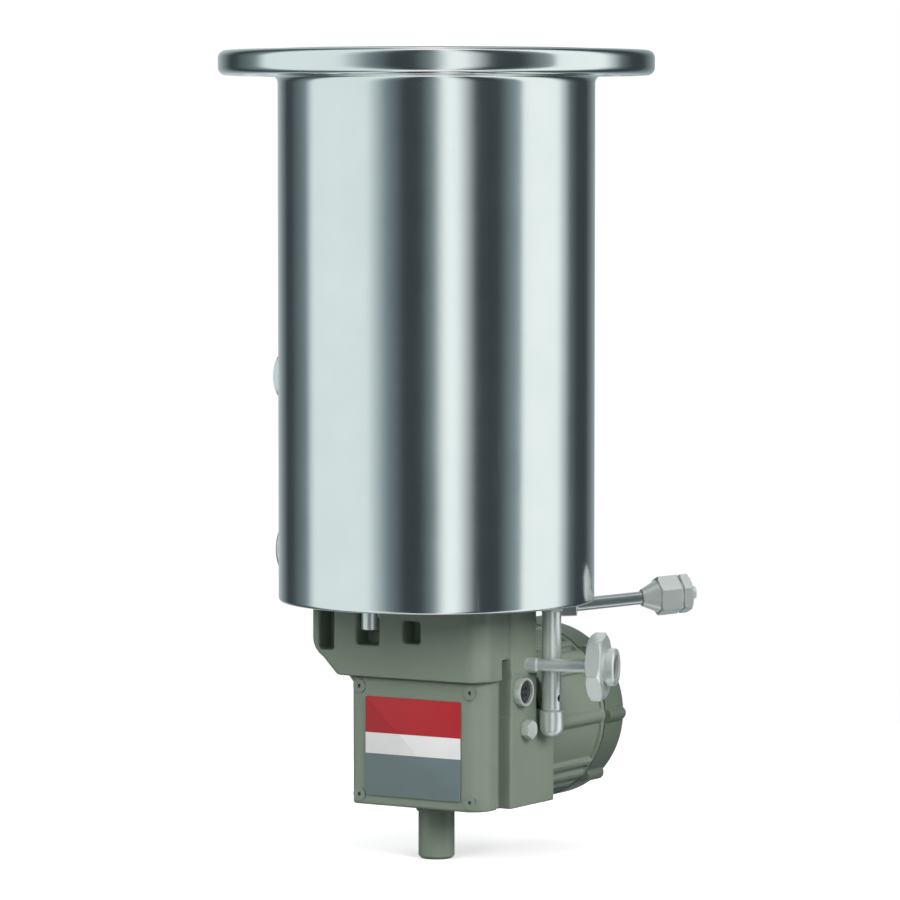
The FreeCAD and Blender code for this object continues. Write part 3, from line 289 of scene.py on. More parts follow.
def net(form: Form, low: Point, high: Point, step: float) -> tuple[np.ndarray, np.ndarray]:
    """Quads over the zero surface of a form.

    Args:
        form: Signed distance in millimetres.
        low: Lowest corner of the space.
        high: Highest corner of the space.
        step: Grid step.

    Returns:
        Points and quads.
    """
    margin, pull, pulls = 2.37, 0.8, 3
    axes = [np.arange(a - margin * step, b + 3 * step, step) for a, b in zip(low, high)]
    shape = tuple(len(axis) for axis in axes)
    values = np.empty(shape)
    for index, x in enumerate(axes[0]):
        y, z = np.meshgrid(axes[1], axes[2], indexing="ij")
        spots = np.stack([np.full(y.size, x), y.ravel(), z.ravel()], axis=1)
        values[index] = form(spots).reshape(shape[1:])
    inside = values < 0
    corners = list(product((0, 1), repeat=3))
    total = sum(inside[tuple(slice(place, size - 1 + place) for place, size in zip(corner, shape))]
                .astype(np.int8) for corner in corners)
    active = (total > 0) & (total < len(corners))
    number = np.full(active.shape, -1, np.int64)
    cells = np.argwhere(active)
    number[active] = np.arange(len(cells))
    sums = np.zeros((len(cells), 3))
    counts = np.zeros(len(cells))
    for first in corners:
        for axis in range(3):
            if first[axis]:
                continue
            second = tuple(value + (place == axis) for place, value in enumerate(first))
            a = values[tuple((cells + first).T)]
            b = values[tuple((cells + second).T)]
            crossing = (a < 0) != (b < 0)
            share = np.where(crossing, a / np.where(crossing, a - b, 1), 0)
            spot = np.array(first) + share[:, None] * (np.array(second) - np.array(first))
            sums += np.where(crossing[:, None], spot, 0)
            counts += crossing
    origin = np.array([axis[0] for axis in axes])
    points = origin + (cells + sums / counts[:, None]) * step
    quads = []
    for axis in range(3):
        side, up = (axis + 1) % 3, (axis + 2) % 3
        starts, ends = [slice(None)] * 3, [slice(None)] * 3
        starts[axis], ends[axis] = slice(0, -1), slice(1, None)
        leaving = inside[tuple(starts)]
        edges = np.argwhere(leaving != inside[tuple(ends)])
        edges = edges[(edges[:, side] > 0) & (edges[:, up] > 0)]
        edges = edges[(edges[:, side] < shape[side] - 1) & (edges[:, up] < shape[up] - 1)]
        ring = []
        for a, b in ((-1, -1), (0, -1), (0, 0), (-1, 0)):
            cell = edges.copy()
            cell[:, side] += a
            cell[:, up] += b
            ring.append(number[tuple(cell.T)])
        face = np.stack(ring, axis=1)
        back = ~leaving[tuple(edges.T)]
        face[back] = face[back][:, ::-1]
        quads.append(face)
    for _ in range(pulls):
        points = points - form(points)[:, None] * slope(form, points) * pull
    return points, np.concatenate(quads)


def made(name: str, points: Any, faces: list[list[int]]) -> Piece:
    """Object from points and faces.

    Args:
        name: Name of the piece.
        points: Points in millimetres.
        faces: Point numbers of each face.

    Returns:
        The object.
    """
    mesh = bpy.data.meshes.new(name)
    mesh.from_pydata((np.array(points) * MM).tolist(), [], faces)
    mesh.update()
    piece = bpy.data.objects.new(name, mesh)
    bpy.context.scene.collection.objects.link(piece)
    return piece


def settle(piece: Piece) -> None:
    """Applies a piece's modifiers to its mesh.

    Args:
        piece: The piece.
    """
    graph = bpy.context.evaluated_depsgraph_get()
    mesh = bpy.data.meshes.new_from_object(piece.evaluated_get(graph))
    piece.modifiers.clear()
    old = piece.data
    piece.data = mesh
    mesh.name = piece.name
    bpy.data.meshes.remove(old)


def smooth(piece: Piece, angle: float = 32.0) -> None:
    """Smooth shading that keeps edges sharper than an angle."""
    piece.data.shade_smooth()
    piece.data.set_sharp_from_angle(angle=math.radians(angle))


def placed(spots: np.ndarray, place: Matrix) -> np.ndarray:
    """Points moved to a placement."""
    return spots @ np.array(place.to_3x3()).T + np.array(place.translation)


def cast(name: str, form: Form, low: Point, high: Point, step: float = 1.0, keep: float = 0.3,
         place: Matrix | None = None) -> Piece:
    """Piece with the eased edges of a casting or a turned part.

    Args:
        name: Name of the piece.
        form: Signed distance in millimetres.
        low: Lowest corner of the space it fills.
        high: Highest corner.
        step: Grid step.
        keep: Share of the faces that stays.
        place: Placement in millimetres, where the form is drawn elsewhere.

    Returns:
        The object, with normals that follow the form.
    """
    points, faces = net(form, low, high, step)
    piece = made(name, points, faces.tolist())
    piece.modifiers.new("thin", "DECIMATE").ratio = keep
    settle(piece)
    mesh = piece.data
    spots = np.empty(len(mesh.vertices) * 3)
    mesh.vertices.foreach_get("co", spots)
    spots = spots.reshape(-1, 3) / MM
    normals = slope(form, spots, 0.05)
    if place is not None:
        normals = normals @ np.array(place.to_3x3()).T
        mesh.vertices.foreach_set("co", (placed(spots, place) * MM).ravel())
        mesh.update()
    mesh.shade_smooth()
    mesh.normals_split_custom_set_from_vertices(normals.tolist())
    return piece


def arc(centre: Spot, radius: float, start: float, end: float, steps: int) -> list[Spot]:
    """Points on a part of a circle.

    Args:
        centre: Centre of the circle.
        radius: Its radius.
        start: Angle of the first point in degrees.
        end: Angle of the last point.
        steps: Number of pieces.

    Returns:
        The points.
    """
    angles = [math.radians(start + (end - start) * step / steps) for step in range(steps + 1)]
    return [(centre[0] + radius * math.cos(angle), centre[1] + radius * math.sin(angle))
            for angle in angles]


def eased(corners: Sequence[Spot], radius: float, steps: int = 3,
          closed: bool = True) -> list[Spot]:
    """Outline whose corners are rounded.

    Args:
        corners: Points of the outline.
        radius: Corner radius, cut down where an edge is short.
        steps: Pieces of each rounding.
        closed: Whether the outline ends where it starts.

    Returns:
        The finer outline.
    """
    straight, share_of_edge = math.radians(165), 0.45
    spots = [Vector(corner) for corner in corners]
    result: list[Spot] = []
    for index, spot in enumerate(spots):
        before = spots[index - 1] - spot
        after = spots[(index + 1) % len(spots)] - spot
        angle = before.angle(after, math.pi)
        if (not closed and index in (0, len(spots) - 1)) or angle > straight:
            result.append(tuple(spot))
            continue
        reach = min(radius / math.tan(angle / 2), before.length * share_of_edge,
                    after.length * share_of_edge)
        start = spot + before.normalized() * reach
        end = spot + after.normalized() * reach
        for step in range(steps + 1):
            share = step / steps
            bend = start * (1 - share) ** 2 + spot * 2 * share * (1 - share) + end * share ** 2
            result.append(tuple(bend))
    return result


def lathe(name: str, profile: Sequence[Spot], segments: int = 128,
          place: Matrix | None = None) -> Piece:
    """Turned piece about Z from a closed outline of (radius, z).

    Args:
        name: Name of the piece.
        profile: Outline in millimetres, either way round.
        segments: Steps round the axis.
        place: Placement in millimetres.

    Returns:
        The object, smooth with sharp steps kept.
    """
    outline = list(profile)
    turns = [2 * math.pi * index / segments for index in range(segments)]
    points: list[Point] = []
    rows: list[list[int]] = []
    for radius, height in outline:
        if radius < TINY:
            rows.append([len(points)] * segments)
            points.append((0.0, 0.0, height))
            continue
        rows.append(list(range(len(points), len(points) + segments)))
        points += [(radius * math.cos(turn), radius * math.sin(turn), height) for turn in turns]
    faces = []
    for low, high in zip(rows, rows[1:] + rows[:1]):
        for index in range(segments):
            after = (index + 1) % segments
            ring = [low[index], low[after], high[after], high[index]]
            face = [spot for corner, spot in enumerate(ring) if spot != ring[corner - 1]]
            if len(face) > 2:
                faces.append(face)
    area = sum(a[0] * b[1] - b[0] * a[1] for a, b in zip(outline, outline[1:] + outline[:1]))
    if area < 0:
        faces = [face[::-1] for face in faces]
    spots = np.array(points)
    piece = made(name, spots if place is None else placed(spots, place), faces)
    smooth(piece)
    return piece


def drill(piece: Piece, cutters: list[Piece]) -> None:
    """Takes the cutters out of a piece and removes them.

    Args:
        piece: The piece.
        cutters: Closed meshes.
    """
    for cutter in cutters:
        cut = piece.modifiers.new("cut", "BOOLEAN")
        cut.operation = "DIFFERENCE"
        cut.solver = "EXACT"
        cut.object = cutter
    settle(piece)
    for cutter in cutters:
        bpy.data.objects.remove(cutter)
    smooth(piece)


def merged(name: str, pieces: list[Piece]) -> Piece:
    """One object of several separate meshes, with its sharp edges kept.

    Args:
        name: Name of the whole.
        pieces: Its parts, which are removed.

    Returns:
        The object.
    """
    points: list[Any] = []
    faces: list[list[int]] = []
    for piece in pieces:
        first = len(points)
        points.extend(tuple(vertex.co / MM) for vertex in piece.data.vertices)
        faces.extend([first + index for index in face.vertices] for face in piece.data.polygons)
        bpy.data.objects.remove(piece)
    whole = made(name, points, faces)
    smooth(whole)
    return whole


def facing(start: Sequence[float], bearing: float | None = None, tilt: float = 0.0) -> Matrix:
    """Placement that turns +Z to a bearing.

    Args:
        start: Where the piece's origin goes, in millimetres.
        bearing: Direction in degrees from +X towards +Y, or none to stay upright.
        tilt: Rise of the bearing above level, in degrees.

    Returns:
        The placement in millimetres.
    """
    if bearing is None:
        return Matrix.Translation(start)
    angle, rise = math.radians(bearing), math.radians(tilt)
    level = math.cos(rise)
    way = Vector((math.cos(angle) * level, math.sin(angle) * level, math.sin(rise)))
    return Matrix.Translation(start) @ UP.rotation_difference(way).to_matrix().to_4x4()


def arithmetic(operation: str, turned: bool = False) -> Callable[["Signal", Any], "Signal"]:
    """Operator of a signal that adds a Math node.

    Args:
        operation: What the node works out.
        turned: Whether the other value comes first.

    Returns:
        The operator's method.
    """
    def apply(self: "Signal", other: Any) -> "Signal":
        """Result of the operator."""
        values = (other, self) if turned else (self, other)
        return self.graph.math(operation, *values)

    return apply


class Signal:
    """One socket of a node tree, with arithmetic that adds Math nodes."""

    __add__ = __radd__ = arithmetic("ADD")
    __sub__, __rsub__ = arithmetic("SUBTRACT"), arithmetic("SUBTRACT", turned=True)
    __mul__ = __rmul__ = arithmetic("MULTIPLY")
    __truediv__, __rtruediv__ = arithmetic("DIVIDE"), arithmetic("DIVIDE", turned=True)
    __mod__, __rmod__ = arithmetic("MODULO"), arithmetic("MODULO", turned=True)

    def __init__(self, graph: "Graph", socket: bpy.types.NodeSocket) -> None:
        """Keeps the graph and the socket."""
        self.graph = graph
        self.socket = socket

    def ramp(self, low: float, high: float) -> "Signal":
        """Smooth rise from zero at low to one at high."""
        node = self.graph.add("ShaderNodeMapRange", {"interpolation_type": "SMOOTHSTEP"},
                              {"Value": self, "From Min": low, "From Max": high})
        return Signal(self.graph, node.outputs[0])


class Graph:
    """Node tree of one material or of the surroundings."""

    def __init__(self, owner: bpy.types.Material | bpy.types.World) -> None:
        """Empties the owner's node tree."""
        self.owner = owner
        owner.use_nodes = True
        self.tree = owner.node_tree
        self.tree.nodes.clear()
        self.coordinates: bpy.types.Node | None = None

    @classmethod
    def named(cls, name: str) -> "Graph":
        """Graph of a new material."""
        return cls(bpy.data.materials.new(name))

    def add(self, kind: str, settings: dict[str, Any] | None = None,
            inputs: dict[Any, Any] | None = None) -> bpy.types.Node:
        """Adds a node.

        Args:
            kind: Type of the node.
            settings: Properties of the node.
            inputs: Values, sockets or signals of its inputs.

        Returns:
            The node.
        """
        node = self.tree.nodes.new(kind)
        for key, value in (settings or {}).items():
            setattr(node, key, value)
        for key, value in (inputs or {}).items():
            if isinstance(value, Signal):
                value = value.socket
            if isinstance(value, bpy.types.NodeSocket):
                self.tree.links.new(value, node.inputs[key])
            else:
                node.inputs[key].default_value = value
        return node

    def math(self, operation: str, *values: Any) -> Signal:
        """Result of a Math node."""
        node = self.add("ShaderNodeMath", {"operation": operation}, dict(enumerate(values)))
        return Signal(self, node.outputs[0])

    def here(self, scale: Point = (1, 1, 1)) -> Signal:
        """Place on the object.

        Args:
            scale: Stretch along each axis.

        Returns:
            The place in millimetres.
        """
        if self.coordinates is None:
            self.coordinates = self.add("ShaderNodeTexCoord")
        node = self.add("ShaderNodeMapping", {}, {
            "Vector": self.coordinates.outputs["Object"],
            "Scale": tuple(value / MM for value in scale)})
        return Signal(self, node.outputs[0])

    def split(self, place: Signal) -> list[Signal]:
        """The three numbers of a vector."""
        node = self.add("ShaderNodeSeparateXYZ", {}, {0: place})
        return [Signal(self, output) for output in node.outputs]

    def noise(self, place: Signal, scale: float, detail: float = 3.0,
              roughness: float = 0.55) -> Signal:
        """Cloudy value around 0.5.

        Args:
            place: Place in millimetres.
            scale: Clouds in a millimetre.
            detail: Number of finer layers.
            roughness: Weight of the finer layers.

        Returns:
            The value.
        """
        node = self.add("ShaderNodeTexNoise", {}, {
            "Vector": place, "Scale": scale, "Detail": detail, "Roughness": roughness})
        return Signal(self, node.outputs["Fac"])

    def cells(self, place: Signal, scale: float) -> Signal:
        """Distance to the nearest of scattered points."""
        node = self.add("ShaderNodeTexVoronoi", {"feature": "F1"},
                        {"Vector": place, "Scale": scale})
        return Signal(self, node.outputs["Distance"])

    def blend(self, share: Signal, first: Any, second: Any) -> Signal:
        """Colour between two colours.

        Args:
            share: Share of the second colour.
            first: Colour or colour signal.
            second: Colour or colour signal.

        Returns:
            The colour.
        """
        ends = [end if isinstance(end, Signal) else (*end, 1.0) for end in (first, second)]
        node = self.add("ShaderNodeMix", {"data_type": "RGBA"}, {0: share, 6: ends[0], 7: ends[1]})
        return Signal(self, node.outputs[2])

    def bump(self, height: Signal, depth: float, strength: float) -> Signal:
        """Normal bent by a height.

        Args:
            height: Height from 0 to 1.
            depth: Height in millimetres of one unit.
            strength: Share of the effect.

        Returns:
            The normal.
        """
        node = self.add("ShaderNodeBump", {}, {
            "Height": height, "Distance": depth * MM, "Strength": strength})
        return Signal(self, node.outputs[0])

    def surface(self, color: Signal, roughness: Signal, metallic: float, normal: Signal,
                **constants: float) -> bpy.types.Material:
        """Closes the material with one shader.

        Args:
            color: Colour.
            roughness: Roughness.
            metallic: Metal share.
            normal: Bent normal.
            constants: Further fixed inputs, with spaces written as underscores.

        Returns:
            The finished material.
        """
        inputs = {"Roughness": roughness, "Metallic": metallic, "Base Color": color,
                  "Normal": normal}
        inputs.update({key.replace("_", " "): value for key, value in constants.items()})
        return self.close("Material", self.add("ShaderNodeBsdfPrincipled", {}, inputs))

    def close(self, kind: str, shader: bpy.types.Node) -> bpy.types.Material | bpy.types.World:
        """Links the last shader to the output and hands back the owner."""
        self.add(f"ShaderNodeOutput{kind}", {}, {"Surface": shader.outputs[0]})
        return self.owner


@dataclass(frozen=True)
class PolishedSteel:
    """Vessel and flange: polished round the axis, with a faint turned grain."""

    name: str = "polished_steel"
    deep: Point = (0.76, 0.79, 0.78)
    color: Point = (0.86, 0.88, 0.87)
    roughness: float = 0.13

    def make(self) -> bpy.types.Material:
        """Builds the material."""
        graph = Graph.named(self.name)
        grain = graph.noise(graph.here((0.015, 0.015, 1.0)), 2.2, 4.0)
        cloud = graph.noise(graph.here(), 0.025)
        marks = graph.noise(graph.here((0.25, 0.25, 0.02)), 1.0, 5.0).ramp(0.60, 0.78)
        rough = self.roughness + (grain - 0.5) * 0.07 + cloud * 0.05 + marks * 0.05
        tint = graph.blend(cloud, self.deep, self.color)
        return graph.surface(tint, rough, 1.0, graph.bump(grain, 0.004, 0.6))


@dataclass(frozen=True)
class CastPaint:
    """Semi-gloss paint over a fine cast skin, with a little dust."""

    name: str = "casting_paint"
    color: Point = (0.170, 0.212, 0.163)
    light: Point = (0.204, 0.248, 0.196)
    dust: Point = (0.30, 0.32, 0.28)
    roughness: float = 0.40

    def make(self) -> bpy.types.Material:
        """Builds the material."""
        graph = Graph.named(self.name)
        place = graph.here()
        skin = graph.noise(place, 0.55, 4.0, 0.6)
        fine = graph.noise(place, 2.4, 2.0)
        cloud = graph.noise(place, 0.03)
        specks = graph.noise(place, 0.12, 5.0, 0.7).ramp(0.60, 0.80)
        rough = self.roughness + (fine - 0.5) * 0.16 + (cloud - 0.5) * 0.10
        tint = graph.blend(cloud, self.color, self.light)
        tint = graph.blend(specks * 0.22, tint, self.dust)
        height = skin * 0.75 + fine * 0.25
        return graph.surface(tint, rough, 0.0, graph.bump(height, 0.12, 0.55),
                             Coat_Weight=0.05, Coat_Roughness=0.20, Specular_IOR_Level=0.36)


@dataclass(frozen=True)
class BrightPlate:
    """Satin nickel plated hardware with fine turning marks and small scuffs."""

    name: str = "plated_steel"
    color: Point = (0.84, 0.87, 0.84)
    roughness: float = 0.33
    metallic: float = 0.72

    def make(self) -> bpy.types.Material:
        """Builds the material."""
        graph = Graph.named(self.name)
        place = graph.here()
        lines = graph.noise(graph.here((0.2, 0.2, 1.6)), 2.6)
        scuff = graph.noise(place, 0.35, 6.0, 0.7).ramp(0.55, 0.75)
        tone = graph.noise(place, 0.08, 2.0)
        tint = graph.blend(tone, tuple(value * 0.9 for value in self.color), self.color)
        rough = self.roughness + (lines - 0.5) * 0.08 + scuff * 0.12
        return graph.surface(tint, rough, self.metallic, graph.bump(lines, 0.006, 0.5))


@dataclass(frozen=True)
class Metal:
    """Plain worked metal."""

    name: str
    color: Point
    deep: Point
    roughness: float
    stretch: Point = (0.3, 0.3, 1.0)

    def make(self) -> bpy.types.Material:
        """Builds the material."""
        graph = Graph.named(self.name)
        place = graph.here()
        lines = graph.noise(graph.here(self.stretch), 1.6)
        cloud = graph.noise(place, 0.05, 4.0, 0.6)
        spots = graph.noise(place, 0.4, 5.0, 0.7).ramp(0.58, 0.74)
        rough = self.roughness + (lines - 0.5) * 0.12 + spots * 0.12
        return graph.surface(graph.blend(cloud, self.deep, self.color), rough, 1.0,
                             graph.bump(lines, 0.02, 0.6))


@dataclass(frozen=True)
class Grains:
    """Loose grains glued or packed together, with painted shade in the gaps between them."""

    name: str
    color: Point
    light: Point
    size: float
    metallic: float = 0.0

    def make(self) -> bpy.types.Material:
        """Builds the material."""
        graph = Graph.named(self.name)
        cell = graph.cells(graph.here(), self.size)
        cloud = graph.noise(graph.here(), 0.3)
        # grain middles take the lighter colour and the gaps between grains the darker one: painted
        # shade, mixed with random tone from the cloud
        tint = graph.blend(cell.ramp(0.1, 0.8) * cloud, self.light, self.color)
        rough = 0.75 + (cloud - 0.5) * 0.3
        return graph.surface(tint, rough, self.metallic, graph.bump(1 - cell, 0.5, 0.9))


@dataclass(frozen=True)
class Moulded:
    """Rubber, resin or moulded plastic."""

    name: str
    color: Point
    light: Point
    roughness: float
    texture: float
    depth: float = 0.05

    def make(self) -> bpy.types.Material:
        """Builds the material."""
        graph = Graph.named(self.name)
        skin = graph.noise(graph.here(), self.texture, 4.0)
        cloud = graph.noise(graph.here(), 0.06)
        return graph.surface(graph.blend(cloud, self.color, self.light),
                             self.roughness + (skin - 0.5) * 0.2, 0.0,
                             graph.bump(skin, self.depth, 0.7))


@dataclass(frozen=True)
class ClothTube:
    """Resin tube wound from cloth."""

    name: str = "displacer_resin"
    color: Point = (0.26, 0.13, 0.05)
    light: Point = (0.45, 0.27, 0.12)
    weave: float = 3.0

    def make(self) -> bpy.types.Material:
        """Builds the material."""
        graph = Graph.named(self.name)
        x, y, z = graph.split(graph.here())
        weft = graph.math("SINE", (x + y) * self.weave)
        cloth = weft * graph.math("SINE", z * self.weave) * 0.5 + 0.5
        cloud = graph.noise(graph.here(), 0.08, 4.0)
        tint = graph.blend(cloth * 0.4 + cloud * 0.4, self.color, self.light)
        return graph.surface(tint, 0.42 + cloud * 0.15, 0.0, graph.bump(cloth, 0.04, 0.6))


@dataclass(frozen=True)
class SheetStack:
    """Thin steel sheets stacked along the motor's axis."""

    name: str = "laminations"
    color: Point = (0.10, 0.10, 0.11)
    light: Point = (0.24, 0.23, 0.22)
    sheets: float = 12.0

    def make(self) -> bpy.types.Material:
        """Builds the material."""
        graph = Graph.named(self.name)
        along = graph.split(graph.here())[Axis.Y.value]
        lines = graph.math("SINE", along * self.sheets) * 0.5 + 0.5
        tint = graph.blend(graph.noise(graph.here(), 0.2, 4.0), self.color, self.light)
        return graph.surface(tint, 0.4 + lines * 0.2, 0.8, graph.bump(lines, 0.08, 0.7))


@dataclass(frozen=True)
class BandedPlate:
    """Bare satin plate in three plain bands: red, white and blue-grey."""

    name: str = "label"
    top: float = -413.5
    height: float = 64.0
    first: float = 0.365
    second: float = 0.575
    edge: float = 0.002
    red: tuple[Point, Point] = ((0.36, 0.014, 0.019), (0.41, 0.020, 0.026))
    white: tuple[Point, Point] = ((0.74, 0.75, 0.74), (0.82, 0.83, 0.82))
    grey: tuple[Point, Point] = ((0.135, 0.184, 0.190), (0.160, 0.212, 0.218))

    def make(self) -> bpy.types.Material:
        """Builds the material."""
        graph = Graph.named(self.name)
        down = (self.top - graph.split(graph.here())[Axis.Z.value]) / self.height
        grain = graph.noise(graph.here((0.05, 1.0, 2.2)), 1.4)
        cloud = graph.noise(graph.here(), 0.05)
        tint, *others = (graph.blend(cloud, *band) for band in (self.red, self.white, self.grey))
        for start, other in zip((self.first, self.second), others):
            tint = graph.blend((down - start).ramp(-self.edge, self.edge), tint, other)
        return graph.surface(tint, 0.30 + (grain - 0.5) * 0.12, 0.0,
                             graph.bump(grain, 0.012, 0.5), Specular_IOR_Level=0.3)


class Finish(Protocol):
    """What every finish offers."""

    name: str

    def make(self) -> bpy.types.Material:
        """Builds the material."""


class Finishes:
    """All materials, built once and found by the record's slot names."""

    def __init__(self) -> None:
        """Builds the materials."""
        finishes: list[Finish] = [
            PolishedSteel(), CastPaint(), BrightPlate(), ClothTube(), SheetStack(), BandedPlate(),
            # darker copy of the casting paint: painted shade on the motor's end bell
            CastPaint("end_bell_painted_shade", (0.104, 0.132, 0.101), (0.126, 0.156, 0.122)),
            Metal("screw_steel", (0.62, 0.63, 0.63), (0.50, 0.51, 0.52), 0.28),
            Metal("tube_steel", (0.78, 0.80, 0.80), (0.68, 0.70, 0.70), 0.30),
            Metal("copper", (0.92, 0.62, 0.50), (0.82, 0.52, 0.41), 0.24),
            Metal("bronze", (0.70, 0.52, 0.28), (0.52, 0.37, 0.19), 0.34),
            Grains("lead", (0.20, 0.21, 0.23), (0.38, 0.39, 0.41), 1.1, 0.9),
            Grains("charcoal", (0.012, 0.012, 0.013), (0.05, 0.05, 0.05), 0.7),
            Moulded("seal_rubber", (0.018, 0.018, 0.019), (0.03, 0.03, 0.031), 0.5, 0.6),
            Moulded("seal_plastic", (0.62, 0.60, 0.54), (0.72, 0.70, 0.64), 0.4, 0.5, 0.03),
            Moulded("insulator", (0.022, 0.023, 0.026), (0.040, 0.042, 0.046), 0.42, 1.5),
        ]
        self.materials = {finish.name: finish.make() for finish in finishes}

    def dress(self, piece: Piece, slot: str, node: str, finish: str = "") -> None:
        """Finishes a piece and puts it in the place of a solid.

        Args:
            piece: The piece.
            slot: The record's material slot.
            node: The solid that it replaces.
            finish: Material used in place of the slot's own.
        """
        piece.data.materials.clear()
        piece.data.materials.append(self.materials[finish or slot])
        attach(piece, "pump")
        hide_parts(node)
        log.info("%s: %d faces", piece.name, len(piece.data.polygons))

    def dress_solids(self) -> None:
        """Gives the solids that stay as they are the materials of their slots."""
        slots = {part["node"]: part["material_slot"] for part in frame["record"]["subparts"]}
        for node, piece in frame["nodes"].items():
            material = self.materials[slots[node]]
            for place in piece.material_slots:
                place.material = material
            if not piece.material_slots:
                piece.data.materials.append(material)


@dataclass(frozen=True)
class Port:
    """Turned port tube with a tapered flange at its end."""

    name: str
    node: str
    bearing: float
    height: float
    reach: float
    bore: float
    tube: float
    flange: float
    taper: Spot

    def build(self, start: float) -> Piece:
        """Turned piece on its bearing.

        Args:
            start: Distance of its root from the vessel's axis.

        Returns:
            The piece.
        """
        low, high = (self.reach - back for back in self.taper)
        outline = [(self.bore, start), (self.tube, start), (self.tube, low), (self.flange, high),
                   (self.flange, self.reach), (self.bore, self.reach)]
        return lathe(self.name, eased(outline, 0.6), 96,
                     facing((0, 0, self.height), self.bearing))


@dataclass
class Vessel:
    """Polished vessel with its bolting flange and the two ports at the back left."""

    radius: float = 101.6
    wall: float = 3.0
    bottom: float = -353.0
    foot: float = 2.4
    flange_radius: float = 139.7
    flange: float = 16.0
    hub: float = 5.0
    rim: float = 5.0
    bolt_circle: float = 241.3
    bolt_hole: float = 22.4
    bolts: int = 8
    seal_circle: float = 212.0
    seal_half: float = 3.2
    seal_depth: float = 4.2
    chamfer: float = 1.0
    weld: float = 0.3
    ports: tuple[Port, ...] = (
        Port("clamp_port", "roughing_port", 162.5, -327.0, 131.6, 20.5, 22.25, 27.5, (7, 3)),
        Port("sensor_port", "instrument_port", 180.0, -211.0, 111.0, 8, 10, 17, (6.5, 6)))

    def bolt_cutter(self, angle: float) -> Piece:
        """Chamfered hole shape.

        Args:
            angle: Place on the bolt circle in radians.

        Returns:
            The closed mesh.
        """
        hole, over = self.bolt_hole / 2, 5
        wide = hole + self.chamfer
        shape = [(0, over), (wide, over), (wide, -0.001), (hole, -self.chamfer),
                 (hole, self.chamfer - self.flange), (wide, -self.flange),
                 (wide, -self.flange - over), (0, -self.flange - over)]
        reach = self.bolt_circle / 2
        spot = (reach * math.cos(angle), reach * math.sin(angle), 0)
        return lathe("hole", shape, 40, facing(spot))

    def build_flange(self) -> Piece:
        """Flange with its bolt holes, seal groove and weld neck.

        Returns:
            The piece.
        """
        inner = self.radius - self.wall
        start, end = (self.seal_circle / 2 + side * self.seal_half for side in (-1, 1))
        middle = self.flange_radius - self.rim
        neck = self.flange + self.hub
        outline = eased([(inner, 0), (start, 0), (start, -self.seal_depth),
                         (end, -self.seal_depth), (end, 0)], 0.5, closed=False)
        outline += arc((middle, -self.rim), self.rim, 90, 0, 8)
        outline += arc((middle, self.rim - self.flange), self.rim, 0, -90, 8)
        outline += arc((self.radius + self.hub, -neck), self.hub, 90, 180, 8)
        outline.append((inner, -neck))
        piece = lathe("bolting_flange", outline, 240)
        drill(piece, [self.bolt_cutter(2 * math.pi * index / self.bolts)
                      for index in range(self.bolts)])
        return piece

    def build_wall(self) -> Piece:
        """Rolled wall with a rounded lower rim.

        Returns:
            The piece.
        """
        inner, top = self.radius - self.wall, -self.flange - self.hub
        foot = arc((self.radius - self.foot, self.bottom + self.foot), self.foot, -90, 0, 6)
        outline = [(inner, top), (inner, self.bottom), *foot, (self.radius, top)]
        return lathe("vessel_wall", outline, 288)

    def dress(self, finishes: Finishes) -> None:
        """Builds, replaces and finishes the vessel's pieces.

        Args:
            finishes: All materials.
        """
        finishes.dress(self.build_flange(), "polished_steel", "inlet_flange")
        finishes.dress(self.build_wall(), "polished_steel", "vessel_shell")
        for port in self.ports:
            finishes.dress(port.build(self.radius - self.weld), "tube_steel", port.node)


